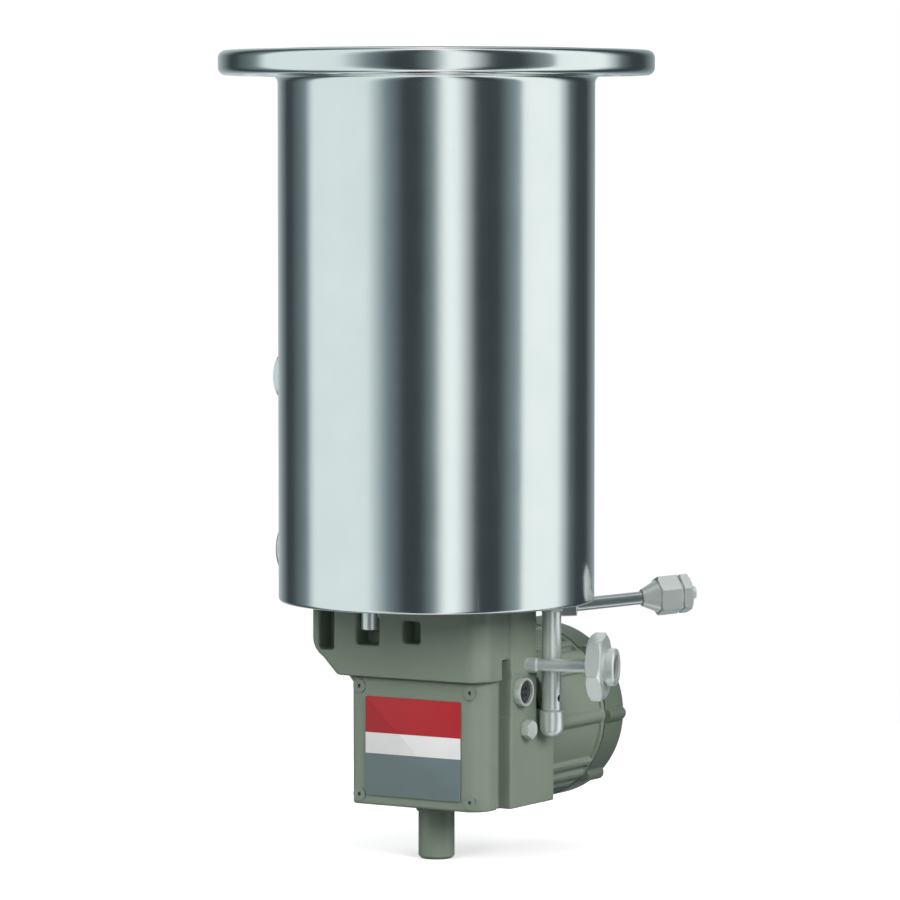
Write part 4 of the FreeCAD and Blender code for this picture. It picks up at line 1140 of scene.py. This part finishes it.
@dataclass
class Crankcase:
    """Painted casting under the vessel with its front cover, label plate and guide cap."""

    left: float = -44.0
    right: float = 60.0
    neck: float = 50.0
    step: float = -6.0
    front: float = -34.0
    cover_back: float = -12.0
    back: float = 48.0
    top: float = -353.0
    band: float = -401.0
    bottom: float = -484.0
    bell_front: float = -38.0
    bell_right: float = 57.0
    cover_right: float = 54.0
    ledge: float = -425.0
    slot_top: float = -388.0
    riser_left: float = 20.0
    riser_back: float = 26.0
    notch_left: float = 34.0
    screw_corner: float = 30.406
    screw_pocket: float = 8.5
    pocket_depth: float = 15.0
    axis_height: float = -436.0
    bearing: float = 16.0
    shaft: float = 9.5
    screw_hole: float = 4.2
    cylinder_seat: float = 36.2
    rod_bore: float = 7.5
    guide_bore: float = 8.05
    cavity_left: float = -32.0
    cavity_right: float = 42.0
    cavity_front: float = -20.0
    cavity_back: float = 30.0
    cavity_bottom: float = -476.0
    cavity_top: float = -404.0
    web: float = 2.5
    label_low: Spot = (-32.25, -477.5)
    label_high: Spot = (39.25, -413.5)
    label_thickness: float = 0.6
    cap_bottom: float = -520.0
    cap_radius: float = 13.0
    front_pockets: tuple[tuple[float, float, float, float], ...] = (
        (-60.0, 11.0, -385.0, -357.0), (-28.5, 17.0, -380.5, -357.0),
        (4.6, 13.0, -378.0, -363.6))
    bell: tuple[Spot, ...] = (
        (0, -353), (80, -353), (80, -378), (79.55, -381.4), (78.3, -384.5), (75.95, -387.6),
        (73, -390), (57, -409), (0, -409))

    def body_form(self) -> Form:
        """Round top, case, neck and riser as one.

        Returns:
            The form.
        """
        trim = shared([turned_form(self.bell),
                       rounded_corner(self.bell_right, self.bell_front, 13.0),
                       half_space(Axis.Y, self.back)], 2.4)
        under = box((-90, self.bell_front - 9, -420), (90, self.cover_back, self.band))
        case = box((self.left, self.step, self.bottom), (self.right, self.back, -395), 1.6)
        neck = box((self.left, self.cover_back, self.bottom), (self.neck, self.step + 3, -395), 0.8)
        riser = box((self.riser_left, self.step, self.band + 1),
                    (self.right, self.riser_back, self.top), 1.6)
        return joined([joined([carved(trim, [under], 1.2), case, riser], 2.5), neck], 1.0)

    def pocket_forms(self) -> list[Form]:
        """Notch behind the riser and the pockets of the round top.

        Returns:
            The forms to carve out.
        """
        corner, side, low, high = self.screw_corner, self.screw_pocket, -381, -357
        forms = [box((self.notch_left, self.riser_back, self.ledge), (170, 60, self.top + 5), 1.0)]
        forms += [box((x - width / 2, self.bell_front - 12, bottom),
                      (x + width / 2, self.bell_front + self.pocket_depth, top), 2.4)
                  for x, width, bottom, top in self.front_pockets]
        forms.append(box((-95, corner - side, low), (side - corner, corner + side, high), 2.4))
        forms.append(box((corner - side, corner - side, low), (corner + side, 60, high), 2.4))
        return forms

    def bore_forms(self) -> list[Form]:
        """Screw holes, bores and the cavity, kept clear of the notch.

        Returns:
            The forms to carve out.
        """
        corner, head, shaft = self.screw_corner, self.top + 3, (0, self.axis_height)
        start = (self.cavity_left, self.cavity_front, self.cavity_bottom)
        upper = self.axis_height - 4
        forms = [rod(Axis.Z, self.screw_hole, -358, head, (x, y))
                 for x, y in ((-corner, -corner), (-corner, corner), (corner, corner))]
        return forms + [
            rod(Axis.Z, self.cylinder_seat, self.top - 10, head),
            rod(Axis.Z, self.rod_bore, self.cavity_top - 1, head),
            rod(Axis.Z, self.guide_bore, self.bottom - 6, self.cavity_bottom + 6),
            box(start, (self.cavity_right, self.cavity_back, self.ledge - 3), 1.0),
            box((self.cavity_left, self.cavity_front, upper),
                (self.notch_left - self.web, self.cavity_back, self.cavity_top), 1.0),
            box((0, self.cavity_front, upper),
                (self.cavity_right, self.riser_back - self.web, self.cavity_top), 1.0),
            rod(Axis.Y, self.bearing, 29, 39, shaft), rod(Axis.Y, self.shaft, 29, 50, shaft)]

    def housing_form(self) -> Form:
        """The casting with its pockets, slot, cavity and bores.

        Returns:
            The form.
        """
        slot = box((self.neck, self.cover_back, self.ledge), (85, self.step, self.slot_top), 0.8)
        whole = carved(carved(self.body_form(), self.pocket_forms(), 1.6), [slot], 1.0)
        return carved(whole, self.bore_forms())

    def cover_form(self) -> Form:
        """The deep front cover with its rounded upright corners.

        Returns:
            The form.
        """
        outside = shared([rounded_corner(self.cover_right, self.front, 14.0),
                          rounded_corner(self.left, self.front, 5.0, left=True),
                          half_space(Axis.Z, self.band),
                          half_space(Axis.Z, self.bottom, above=True),
                          half_space(Axis.Y, self.cover_back)], 2.0)
        margin, start = 6.5, self.front - 1
        sinks: list[Form] = []
        for spot in product((-37.5, 46.0), (self.band - margin, self.bottom + margin)):
            sinks.append(rod(Axis.Y, 2.5, start, self.cover_back + 1, spot))
            sinks.append(rod(Axis.Y, 4.4, start, self.front + 0.9, spot, 0.3))
        hollow = box((self.cavity_left, self.front + 5, self.cavity_bottom),
                     (self.cavity_right, self.cover_back + 9, -406), 4.0)
        return carved(carved(outside, sinks), [hollow])

    def build_plate(self) -> Piece:
        """Thin label plate with rounded corners and an eased edge.

        Returns:
            The piece.
        """
        low, high = self.label_low, self.label_high
        outline = eased([low, (high[0], low[1]), high, (low[0], high[1])], 1.5, 6)
        count = len(outline)
        points = [(x, self.front - depth, z) for depth in (0.0, self.label_thickness)
                  for x, z in outline]
        faces = [list(range(count)), list(range(2 * count - 1, count - 1, -1))]
        faces += [[i, count + i, count + (i + 1) % count, (i + 1) % count] for i in range(count)]
        piece = made("label_blank", points, [face[::-1] for face in faces])
        ease = piece.modifiers.new("ease", "BEVEL")
        ease.width = 0.15 * MM
        ease.segments = 2
        ease.limit_method = "ANGLE"
        ease.angle_limit = math.radians(50)
        settle(piece)
        smooth(piece)
        return piece

    def build_cap(self) -> Piece:
        """Guide cap with its collar and groove.

        Returns:
            The piece.
        """
        top, low, radius, bore = self.bottom, self.cap_bottom, self.cap_radius, 7
        outline = [(bore, top), (radius, top), (radius, top - 1.2), (radius - 2.1, top - 1.2),
                   (radius - 2.1, top - 2.8), (radius, top - 2.8), (radius, top - 5),
                   (radius - 1.3, top - 5.8), (radius - 1.3, low + 1.8), (radius - 3.1, low),
                   (0, low), (0, low + 4), (bore, low + 4)]
        return lathe("guide_cap_turned", eased(outline, 0.5), 96)

    def dress(self, finishes: Finishes) -> None:
        """Builds, replaces and finishes the casting's pieces.

        Args:
            finishes: All materials.
        """
        housing = cast("crankcase_casting", self.housing_form(), (-81, -39, -485), (61, 49, -352))
        finishes.dress(housing, "casting_paint", "drive_housing")
        cover = cast("cover_casting", self.cover_form(), (-45, -35, -485), (55, -11, -400), 0.8)
        finishes.dress(cover, "casting_paint", "front_cover")
        finishes.dress(self.build_plate(), "label", "label_plate")
        finishes.dress(self.build_cap(), "casting_paint", "guide_cap")


@dataclass
class Motor:
    """Ribbed motor shell and its end bell behind the crankcase."""

    axis_height: float = -436.0
    radius: float = 54.0
    wall: float = 4.5
    start: float = 48.0
    end: float = 118.0
    lip: float = 3.0
    rib: float = 2.25
    boss: float = 4.5
    boss_inset: float = 0.75
    bell_end: float = 148.0
    bell_round: float = 10.0
    bell_step: float = 4.0
    bearing: float = 16.0
    ribs: tuple[float, ...] = (34, 56, 79, 101, 124, 146, -34, -56, -79, -101, -124, -146)
    screws: tuple[float, ...] = (0, 45, 90, 135, 180, 225, 270, 315)

    def turned(self, form: Form, degrees: float) -> Form:
        """A form drawn at angle zero, turned about the motor's axis.

        Args:
            form: The form.
            degrees: Angle about the axis.

        Returns:
            The turned form.
        """
        height = self.axis_height
        cos, sin = math.cos(math.radians(degrees)), math.sin(math.radians(degrees))

        def distance(points: np.ndarray) -> np.ndarray:
            """Distance of each point."""
            x, y, z = points[:, 0], points[:, 1], points[:, 2] - height
            return form(np.stack([x * cos + z * sin, y, height + z * cos - x * sin], axis=1))

        return distance

    def ring(self, form: Form, angles: Iterable[float]) -> list[Form]:
        """Copies of a form round the motor's axis."""
        return [self.turned(form, angle) for angle in angles]

    def bar(self, radius: float, start: float, end: float, out: float = 0.0,
            edge: float = 0.0) -> Form:
        """Round bar along the motor.

        Args:
            radius: Its radius.
            start: Where it starts.
            end: Where it ends.
            out: Distance of its centre line from the motor's.
            edge: Radius of the rims.

        Returns:
            The form.
        """
        return rod(Axis.Y, radius, start, end, (out, self.axis_height), edge)

    def shell_form(self) -> Form:
        """Shell with end flanges, ribs and screw bosses.

        Returns:
            The form.
        """
        start, end, wide = self.start, self.end, self.radius + self.lip
        rib = box((40, start + 2, self.axis_height - self.rib),
                  (wide, end - 2, self.axis_height + self.rib), 0.8)
        boss = self.bar(self.boss, start, end, self.radius - self.boss_inset, 0.3)
        whole = joined([self.bar(self.radius, start, end, edge=0.3),
                        self.bar(wide, start, start + self.lip, edge=0.6),
                        self.bar(wide, end - self.lip, end, edge=0.6),
                        *self.ring(rib, self.ribs), *self.ring(boss, self.screws)], 1.6)
        whole = shared([whole, half_space(Axis.Y, start, above=True), half_space(Axis.Y, end)])
        return carved(whole, [self.bar(self.radius - self.wall, start - 5, end + 5)])

    def bell_form(self) -> Form:
        """End bell with lugs, counterbores and a bearing boss.

        Returns:
            The form.
        """
        end, last = self.end, self.bell_end
        body = shared([self.bar(self.radius + self.bell_step, end - 25, last, 0, self.bell_round),
                       half_space(Axis.Y, end, above=True)])
        lug = self.bar(self.boss, end, last - self.bell_round, self.radius + 3.5, 0.8)
        whole = joined([body, *self.ring(lug, self.screws)], 1.5)
        hollow = carved(self.bar(self.radius - self.wall, end - 5, last - 6),
                        [self.bar(22.0, end + 13, last)])
        sink = self.bar(3.7, last - self.bell_round, last + 5, self.radius - self.boss_inset)
        return carved(whole, [hollow, self.bar(self.bearing, end - 5, last - 7),
                              *self.ring(sink, self.screws)], 0.5)

    def dress(self, finishes: Finishes) -> None:
        """Builds, replaces and finishes the motor's outer pieces.

        Args:
            finishes: All materials.
        """
        for name, form, start, end, reach, step, keep, node, finish in (
                ("motor_shell", self.shell_form(), self.start, self.end, self.radius + 4,
                 1.1, 0.35, "motor_housing", ""),
                # the end bell takes the darker copy of the casting paint, which is painted shade
                ("motor_end", self.bell_form(), self.end, self.bell_end, self.radius + 9,
                 1.0, 0.3, "motor_end_bell", "end_bell_painted_shade")):
            piece = cast(name, form, (-reach, start, self.axis_height - reach),
                         (reach, end, self.axis_height + reach), step, keep)
            finishes.dress(piece, "casting_paint", node, finish)


@dataclass
class HeliumCoupling:
    """Self-sealing coupling: stem out of the casting, hexagon and open nose."""

    name: str
    node: str
    place: Matrix
    across: float = 39.0
    hex_start: float = 41.0
    hex_end: float = 51.0
    end: float = 58.0
    nose: float = 12.0
    bore: float = 7.75
    bore_bottom: float = 44.0
    stem: float = 4.0
    root: float = -8.0

    def form(self) -> Form:
        """Form along +Z from the casting's face.

        Returns:
            The form.
        """
        nose, neck, base = self.nose, self.nose - 1, self.hex_end - 1
        lip = turned_form([(0, base), (neck, base), (neck, base + 2.5), (nose, base + 2.5),
                           (nose, self.end - 0.8), (nose - 0.8, self.end), (0, self.end)])
        head = joined([hexagonal(self.across, self.hex_start, self.hex_end), lip], 0.4)
        stem = joined([rod(Axis.Z, self.stem + 1, self.root, 6, edge=0.5),
                       rod(Axis.Z, self.stem, self.root, self.hex_start + 2)], 0.8)
        bores = [rod(Axis.Z, self.bore, self.bore_bottom, self.end + 2),
                 rod(Axis.Z, self.stem / 2, self.root - 2, self.end + 2)]
        return carved(joined([head, stem], 0.6), bores, 0.4)

    def dress(self, finishes: Finishes) -> None:
        """Builds, replaces and finishes the coupling.

        Args:
            finishes: All materials.
        """
        reach = 23
        piece = cast(self.name, self.form(), (-reach, -reach, self.root),
                     (reach, reach, self.end), 0.6, place=self.place)
        finishes.dress(piece, "plated_steel", self.node)


@dataclass
class ReliefValve:
    """Bright relief valve that hangs under the vessel's base."""

    spot: Spot = (68.6, 29.6)
    top: float = -353.0
    bottom: float = -423.0
    radius: float = 6.25
    bore: float = 4.5
    seat: float = 18.0
    vent: float = 2.0
    collar: float = 6.0
    across: float = 14.375
    cap_radius: float = 7.75
    cap_round: float = 6.0
    cap_bottom: float = -440.0

    def dress(self, finishes: Finishes) -> None:
        """Builds, replaces and finishes the body and the cap.

        Args:
            finishes: All materials.
        """
        here = facing((*self.spot, 0))
        low, high, reach, spigot = self.bottom, self.top, 10, 4.3
        body = joined([rod(Axis.Z, self.radius, low, high, edge=0.5),
                       hexagonal(self.across, high - self.collar, high)], 0.3)
        body = carved(body, [rod(Axis.Z, self.bore, low - 2, high - self.seat),
                             rod(Axis.Z, 2.5, low, high + 2),
                             rod(Axis.X, self.vent, -reach, reach, (0, low + 8))], 0.4)
        piece = cast("relief_body", body, (-reach, -reach, low), (reach, reach, high), 0.5,
                     place=here)
        finishes.dress(piece, "plated_steel", "relief_valve_body")
        base, radius = self.cap_bottom, self.cap_radius
        dome = arc((radius - self.cap_round, base + self.cap_round), self.cap_round, -90, 0, 9)
        outline = [(0, base), *dome, (radius, low - 0.8), (radius - 0.8, low), (spigot, low),
                   (spigot, low + 4), (0, low + 4)]
        finishes.dress(lathe("relief_cap", outline, 72, here), "plated_steel",
                       "relief_valve_cap")


@dataclass
class Spring:
    """Coil spring with closed ends."""

    name: str
    node: str
    joint: str
    base: Matrix
    radius: float
    height: float
    turns: float
    travel: float
    wire: float = 1.2
    closed: float = 0.75
    steps: int = 32
    sides: int = 12

    def build(self) -> Piece:
        """Wire wound along the base's +Z.

        Returns:
            The piece.
        """
        half, sides = self.wire / 2, self.sides
        end = self.wire * self.closed
        count = int(self.turns * self.steps)
        points = []
        for step in range(count + 1):
            wound = self.turns * step / count
            middle = np.interp(wound, (0, self.closed, self.turns - self.closed, self.turns),
                               (half, half + end, self.height - half - end, self.height - half))
            around = 2 * math.pi * wound
            for side in range(sides):
                turn = 2 * math.pi * side / sides
                reach = self.radius + half * math.cos(turn)
                points.append(tuple(self.base @ Vector((
                    reach * math.cos(around), reach * math.sin(around),
                    middle + half * math.sin(turn)))))
        faces = [list(range(sides)), [count * sides + side for side in reversed(range(sides))]]
        for low in range(0, count * sides, sides):
            for side in range(sides):
                after = (side + 1) % sides
                faces.append([low + after, low + side, low + sides + side, low + sides + after])
        piece = made(self.name, points, faces)
        smooth(piece, 50.0)
        return piece

    def dress(self, finishes: Finishes) -> None:
        """Builds, replaces and finishes the spring.

        Args:
            finishes: All materials.
        """
        piece = self.build()
        finishes.dress(piece, "screw_steel", self.node)
        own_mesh(piece)


@dataclass
class PurgeLine:
    """Elbow block, tube and hexagon fitting of the purge gas line."""

    bearing: float = 50.0
    tilt: float = 4.0
    height: float = -359.5
    middle: float = 87.0
    block: float = 14.0
    low: float = -365.6
    top: float = -353.0
    run: float = 53.7
    tube: float = 8.5
    bore: float = 6.0
    across: float = 23.0
    taper: float = 10.5
    end: float = 32.5
    nipple: float = 4.0
    groove: float = 9.5

    def block_form(self) -> Form:
        """Elbow block, drawn with the tube's bearing as +X.

        Returns:
            The form.
        """
        half, middle = self.block / 2, self.middle
        whole = box((middle - half, -half, self.low), (middle + half, half, self.top), 0.9)
        return carved(whole, [rod(Axis.Z, self.bore / 2, self.height, self.top + 2,
                                  (middle, 0))], 0.3)

    def tube_form(self) -> Form:
        """Tube with its weld bead at the block, drawn along +Z.

        Returns:
            The form.
        """
        radius, face = self.tube / 2, self.block / 2
        bead = rod(Axis.Z, radius + 1.0, face - 0.6, face + 0.9, edge=0.7)
        whole = joined([rod(Axis.Z, radius, 0, self.run, edge=0.3), bead], 0.6)
        return carved(whole, [rod(Axis.Z, self.bore / 2, -3, self.run + 3)], 0.2)

    def fitting_form(self) -> Form:
        """Taper, hexagon with its ring and the outlet nipple, drawn along +Z.

        Returns:
            The form.
        """
        corner, end, taper = self.across / math.sqrt(3), self.end, self.taper
        cone = turned_form([(0, 0), (self.tube / 2 + 1.2, 0), (corner * 0.8, taper + 0.1),
                            (0, taper + 0.1)])
        whole = joined([cone, hexagonal(self.across, taper, end),
                        rod(Axis.Z, self.nipple, end - 1, end + 5, edge=0.3)], 0.4)
        ring = carved(rod(Axis.Z, corner + 4, end - 7.5, end - 6.0),
                      [rod(Axis.Z, self.groove, 0, 60)])
        return carved(whole, [ring, rod(Axis.Z, self.nipple / 2, -2, end + 8)], 0.3)

    def dress(self, finishes: Finishes) -> None:
        """Builds, replaces and finishes the elbow, the tube and the fitting.

        Args:
            finishes: All materials.
        """
        half, angle = self.block / 2, math.radians(self.bearing)
        elbow = cast("purge_block", self.block_form(), (self.middle - half, -half, self.low),
                     (self.middle + half, half, self.top), 0.5,
                     place=Matrix.Rotation(angle, 4, "Z"))
        start = Vector((self.middle * math.cos(angle), self.middle * math.sin(angle), self.height))
        place = facing(start, self.bearing, self.tilt)
        tube = cast("purge_tube", self.tube_form(), (-6, -6, 0), (6, 6, self.run), 0.5, 0.35, place)
        for piece in (elbow, tube):
            finishes.dress(piece, "tube_steel", "purge_line")
        end = start + place.to_3x3() @ Vector((0, 0, self.run))
        nut = cast("purge_nut", self.fitting_form(), (-14, -14, 0), (14, 14, self.end + 5), 0.5,
                   place=facing(end, self.bearing, self.tilt))
        finishes.dress(nut, "plated_steel", "purge_fitting")


@dataclass
class SideFittings:
    """Power socket, charge plug and the screws that hang the casting."""

    face: float = 60.0
    socket: Spot = (5.0, -409.3)
    plug: Spot = (11.0, -434.0)
    plug_across: float = 11.0
    plug_height: float = 6.0
    screw_corner: float = 30.406
    screw_seat: float = -357.0
    screw_top: float = -347.0
    screw_bottom: float = -371.0

    def build_screw(self, x: float, y: float) -> Piece:
        """Cap screw with its socket from below.

        Args:
            x: Place of its axis.
            y: Place of its axis.

        Returns:
            The piece.
        """
        seat, top, bottom, reach = self.screw_seat, self.screw_top, self.screw_bottom, 7
        form = joined([rod(Axis.Z, 4.0, seat, top), rod(Axis.Z, 6.5, bottom, seat, edge=0.6)], 0.2)
        form = carved(form, [hexagonal(6.0, bottom - 4, bottom + 4)], 0.2)
        return cast("screw", form, (-reach, -reach, bottom), (reach, reach, top), 0.4, 0.25,
                    facing((x, y, 0)))

    def dress(self, finishes: Finishes) -> None:
        """Builds, replaces and finishes the small pieces.

        Args:
            finishes: All materials.
        """
        ring = eased([(0, 0), (9, 0), (9, 5), (7.5, 5), (7.5, 1.5), (0, 1.5)], 0.4)
        shell = lathe("socket_shell", ring, 72, facing((self.face, *self.socket), 0.0))
        finishes.dress(shell, "plated_steel", "power_socket")
        plug = cast("plug_hex", hexagonal(self.plug_across, 0, self.plug_height), (-7, -7, 0),
                    (7, 7, self.plug_height), 0.35, place=facing((self.face, *self.plug), 0.0))
        finishes.dress(plug, "plated_steel", "charge_plug")
        corner = self.screw_corner
        screws = [self.build_screw(x, y)
                  for x, y in ((-corner, -corner), (-corner, corner), (corner, corner))]
        finishes.dress(merged("hanging_screws", screws), "plated_steel", "housing_screws")


@dataclass(frozen=True)
class Panel:
    """Tall studio panel that only reflections see, fading from one edge to the other."""

    start: float
    end: float
    level: float
    last: float


@dataclass(frozen=True)
class Lamp:
    """Soft square lamp, placed from the pump by the camera's directions, in metres."""

    name: str
    ahead: float
    right: float
    up: float
    size: float
    power: float


@dataclass
class Studio:
    """Pale floor, soft lights, panels round the pump and the camera."""

    floor: float = -0.52
    floor_gap: float = 0.05
    floor_size: float = 9000.0
    floor_glow: float = 0.35
    floor_seen: float = 0.93
    floor_bounce: float = 0.20
    fade: Spot = (250.0, 900.0)
    world_level: float = 0.50
    azimuth: float = 32.0
    distance: float = 3.2
    camera_height: float = -0.05
    aim_height: float = -0.2562
    aim_right: float = 0.0087
    lens: float = 199.5
    lamp_aim: Point = (0, 0, -0.3)
    lamps: tuple[Lamp, ...] = (
        Lamp("key_lamp", 1.9, 1.5, 0.8, 1.2, 64.0), Lamp("fill_lamp", 1.5, -1.9, 0.9, 1.6, 31.0),
        Lamp("back_lamp", -2.3, -0.5, 0.9, 1.6, 24.0))
    panel_radius: float = 6000.0
    panel_reach: float = 24000.0
    panel_step: float = 4.0
    panel_tint: Point = (0.95, 1.03, 1.03)
    panel_shade: Point = (0.82, 1.10, 1.20)
    panels: tuple[Panel, ...] = (
        Panel(-178, -139, 0.70, 0.07), Panel(-139, -127, 0.05, 0.06), Panel(-127, -108, 0.08, 0.22),
        Panel(-108, -101, 0.25, 0.80), Panel(-101, -50, 0.85, 0.85), Panel(-50, -37, 0.78, 0.27),
        Panel(-37, -24, 0.25, 0.06), Panel(-24, -11, 0.05, 0.05), Panel(-11, -1, 0.06, 0.24),
        Panel(-1, 6, 0.30, 1.00), Panel(6, 15, 1.04, 1.04), Panel(15, 28, 0.95, 0.09),
        Panel(28, 46, 0.05, 0.05), Panel(46, 64, 0.06, 0.36), Panel(64, 99, 1.00, 1.00),
        Panel(99, 112, 0.90, 0.16), Panel(112, 122, 0.14, 0.06), Panel(122, 140, 0.05, 0.05),
        Panel(140, 178, 0.07, 0.50),
    )

    def shade(self, level: float) -> Point:
        """Colour of a panel, cooler where it is dark."""
        return tuple(level * (dark + (bright - dark) * min(level, 1.0))
                     for bright, dark in zip(self.panel_tint, self.panel_shade))

    def glow(self, name: str, panel: Panel) -> bpy.types.Material:
        """Glowing material of a panel.

        Args:
            name: Name of the material.
            panel: The panel's edges and levels.

        Returns:
            The material.
        """
        graph = Graph.named(name)
        x, y, _ = graph.split(graph.here())
        turn = graph.math("ARCTAN2", x, 0 - y) * (180 / math.pi)
        way = (turn - self.azimuth - panel.start + 720) % 360
        color = graph.blend(way / (panel.end - panel.start), self.shade(panel.level),
                            self.shade(panel.last))
        light = graph.add("ShaderNodeEmission", {}, {"Color": color, "Strength": 1.0})
        return graph.close("Material", light)

    def build_panels(self) -> None:
        """Curved panels whose edges give the bands on the polished wall."""
        for number, panel in enumerate(self.panels):
            wide = panel.end - panel.start
            steps = max(2, int(wide / self.panel_step))
            points = []
            for step in range(steps + 1):
                turn = math.radians(self.azimuth + panel.start + wide * step / steps)
                x, y = math.sin(turn) * self.panel_radius, -math.cos(turn) * self.panel_radius
                points += [(x, y, -self.panel_reach), (x, y, self.panel_reach)]
            faces = [[2 * i, 2 * i + 2, 2 * i + 3, 2 * i + 1] for i in range(steps)]
            piece = made(f"panel_{number}", points, faces)
            piece.data.materials.append(self.glow(f"panel_{number}", panel))
            for ray in ("camera", "diffuse", "shadow", "transmission"):
                setattr(piece, f"visible_{ray}", False)
            piece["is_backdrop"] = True

    def floor_material(self) -> bpy.types.Material:
        """Pale floor that fades into the white behind it, away from the pump.

        Returns:
            The material.
        """
        graph = Graph.named("floor_white")
        seen = Signal(graph, graph.add("ShaderNodeLightPath").outputs["Is Camera Ray"])
        x, y, _ = graph.split(graph.here())
        far = graph.math("SQRT", x * x + y * y).ramp(*self.fade)
        cloud = graph.noise(graph.here(), 0.004, 2.0)
        near = graph.add("ShaderNodeBsdfPrincipled", {}, {
            "Base Color": graph.blend(seen, (self.floor_bounce,) * 3, (self.floor_seen,) * 3),
            "Roughness": 0.8 + cloud * 0.05, "Emission Color": seen,
            "Emission Strength": self.floor_glow})
        white = graph.add("ShaderNodeEmission", {}, {"Color": (1, 1, 1, 1), "Strength": 1.0})
        return graph.close("Material", graph.add("ShaderNodeMixShader", {}, {
            0: seen * far, 1: near.outputs[0], 2: white.outputs[0]}))

    def build_floor(self) -> None:
        """Wide floor that keeps the pump's shadow."""
        size, height = self.floor_size, self.floor / MM - self.floor_gap
        piece = made("floor", [(-size, -size, height), (size, -size, height),
                               (size, size, height), (-size, size, height)], [[0, 1, 2, 3]])
        piece.data.materials.append(self.floor_material())
        piece.visible_glossy = False
        piece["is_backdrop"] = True

    def build_world(self) -> None:
        """White surroundings, softer for the light that falls on the pump."""
        world = bpy.data.worlds.new("studio")
        bpy.context.scene.world = world
        graph = Graph(world)
        path = graph.add("ShaderNodeLightPath")
        camera, glossy, clear = (Signal(graph, path.outputs[f"Is {kind} Ray"])
                                 for kind in ("Camera", "Glossy", "Transmission"))
        seen = graph.math("MINIMUM", camera + glossy + clear, 1.0)
        level = seen * (1 - self.world_level) + self.world_level
        graph.close("World", graph.add("ShaderNodeBackground", {}, {
            "Color": (1, 1, 1, 1), "Strength": level}))

    def stand(self, name: str, data: Any, place: Vector, aim: Vector) -> Piece:
        """Lamp or camera that looks at a point.

        Args:
            name: Name of the object.
            data: Its lamp or camera data.
            place: Where it stands.
            aim: What it looks at.

        Returns:
            The object.
        """
        thing = bpy.data.objects.new(name, data)
        thing.location = place
        thing.rotation_euler = (aim - place).to_track_quat("-Z", "Y").to_euler()
        bpy.context.scene.collection.objects.link(thing)
        return thing

    def build_lamps(self, right: Vector, ahead: Vector) -> None:
        """The lamps in front, at the side and behind.

        Args:
            right: Direction to the camera's right.
            ahead: Level direction from the pump to the camera.
        """
        for lamp in self.lamps:
            data = bpy.data.lights.new(lamp.name, "AREA")
            data.size, data.energy = lamp.size, lamp.power
            place = ahead * lamp.ahead + right * lamp.right + UP * lamp.up
            self.stand(lamp.name, data, place, Vector(self.lamp_aim)).visible_glossy = False

    def build_camera(self, right: Vector, ahead: Vector) -> None:
        """Camera at the photo's angle.

        Args:
            right: Direction to the camera's right.
            ahead: Level direction from the pump to the camera.
        """
        data = bpy.data.cameras.new("camera")
        data.lens, data.sensor_width, data.clip_end = self.lens, 36.0, 60.0
        bpy.context.scene.camera = self.stand(
            "camera", data, ahead * self.distance + UP * self.camera_height,
            right * self.aim_right + UP * self.aim_height)

    def build(self) -> None:
        """Builds the whole studio."""
        bpy.context.scene.view_settings.view_transform = "Standard"
        self.build_floor()
        self.build_panels()
        self.build_world()
        turn = math.radians(self.azimuth)
        right = Vector((math.cos(turn), math.sin(turn), 0))
        ahead = Vector((math.sin(turn), -math.cos(turn), 0))
        self.build_lamps(right, ahead)
        self.build_camera(right, ahead)


def corners(bounds: Any) -> list[list[float]]:
    """The two corners of a box as plain lists."""
    return [[float(value) for value in corner] for corner in bounds]


def assemblies() -> list[Any]:
    """The sub-assemblies in order.

    Returns:
        Objects with a dress method.
    """
    found: list[Any] = [
        Vessel(), Crankcase(), Motor(), ReliefValve(), PurgeLine(), SideFittings(),
        Spring("relief_coil", "relief_valve_spring", "relief_poppet_slide",
               facing((68.6, 29.6, -418.9)), 3.3, 37.8, 8.0, 3.0)]
    for side, start, bearing in (("supply", (60.0, 15.0, -393.0), 18.0),
                                 ("return", (-33.6, 48.0, -378.0), 125.0)):
        place = facing(start, bearing)
        found.append(HeliumCoupling(f"{side}_fitting", f"{side}_coupling", place))
        found.append(Spring(f"{side}_coil", f"{side}_spring", f"{side}_poppet_slide",
                            place @ Matrix.Translation((0, 0, 44.1)), 5.55, 7.3, 2.5, 4.0))
    return found


def main() -> None:
    """Builds the sub-assemblies in order, then the studio."""
    logging.basicConfig(level=logging.INFO, format="%(message)s")
    solid_box = corners(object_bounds())
    finishes = Finishes()
    finishes.dress_solids()
    for assembly in assemblies():
        assembly.dress(finishes)
        log.info("built %s", type(assembly).__name__)
    Studio().build()
    {"solids": solid_box, "visual": corners(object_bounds())}


if __name__ == "__main__":
    main()
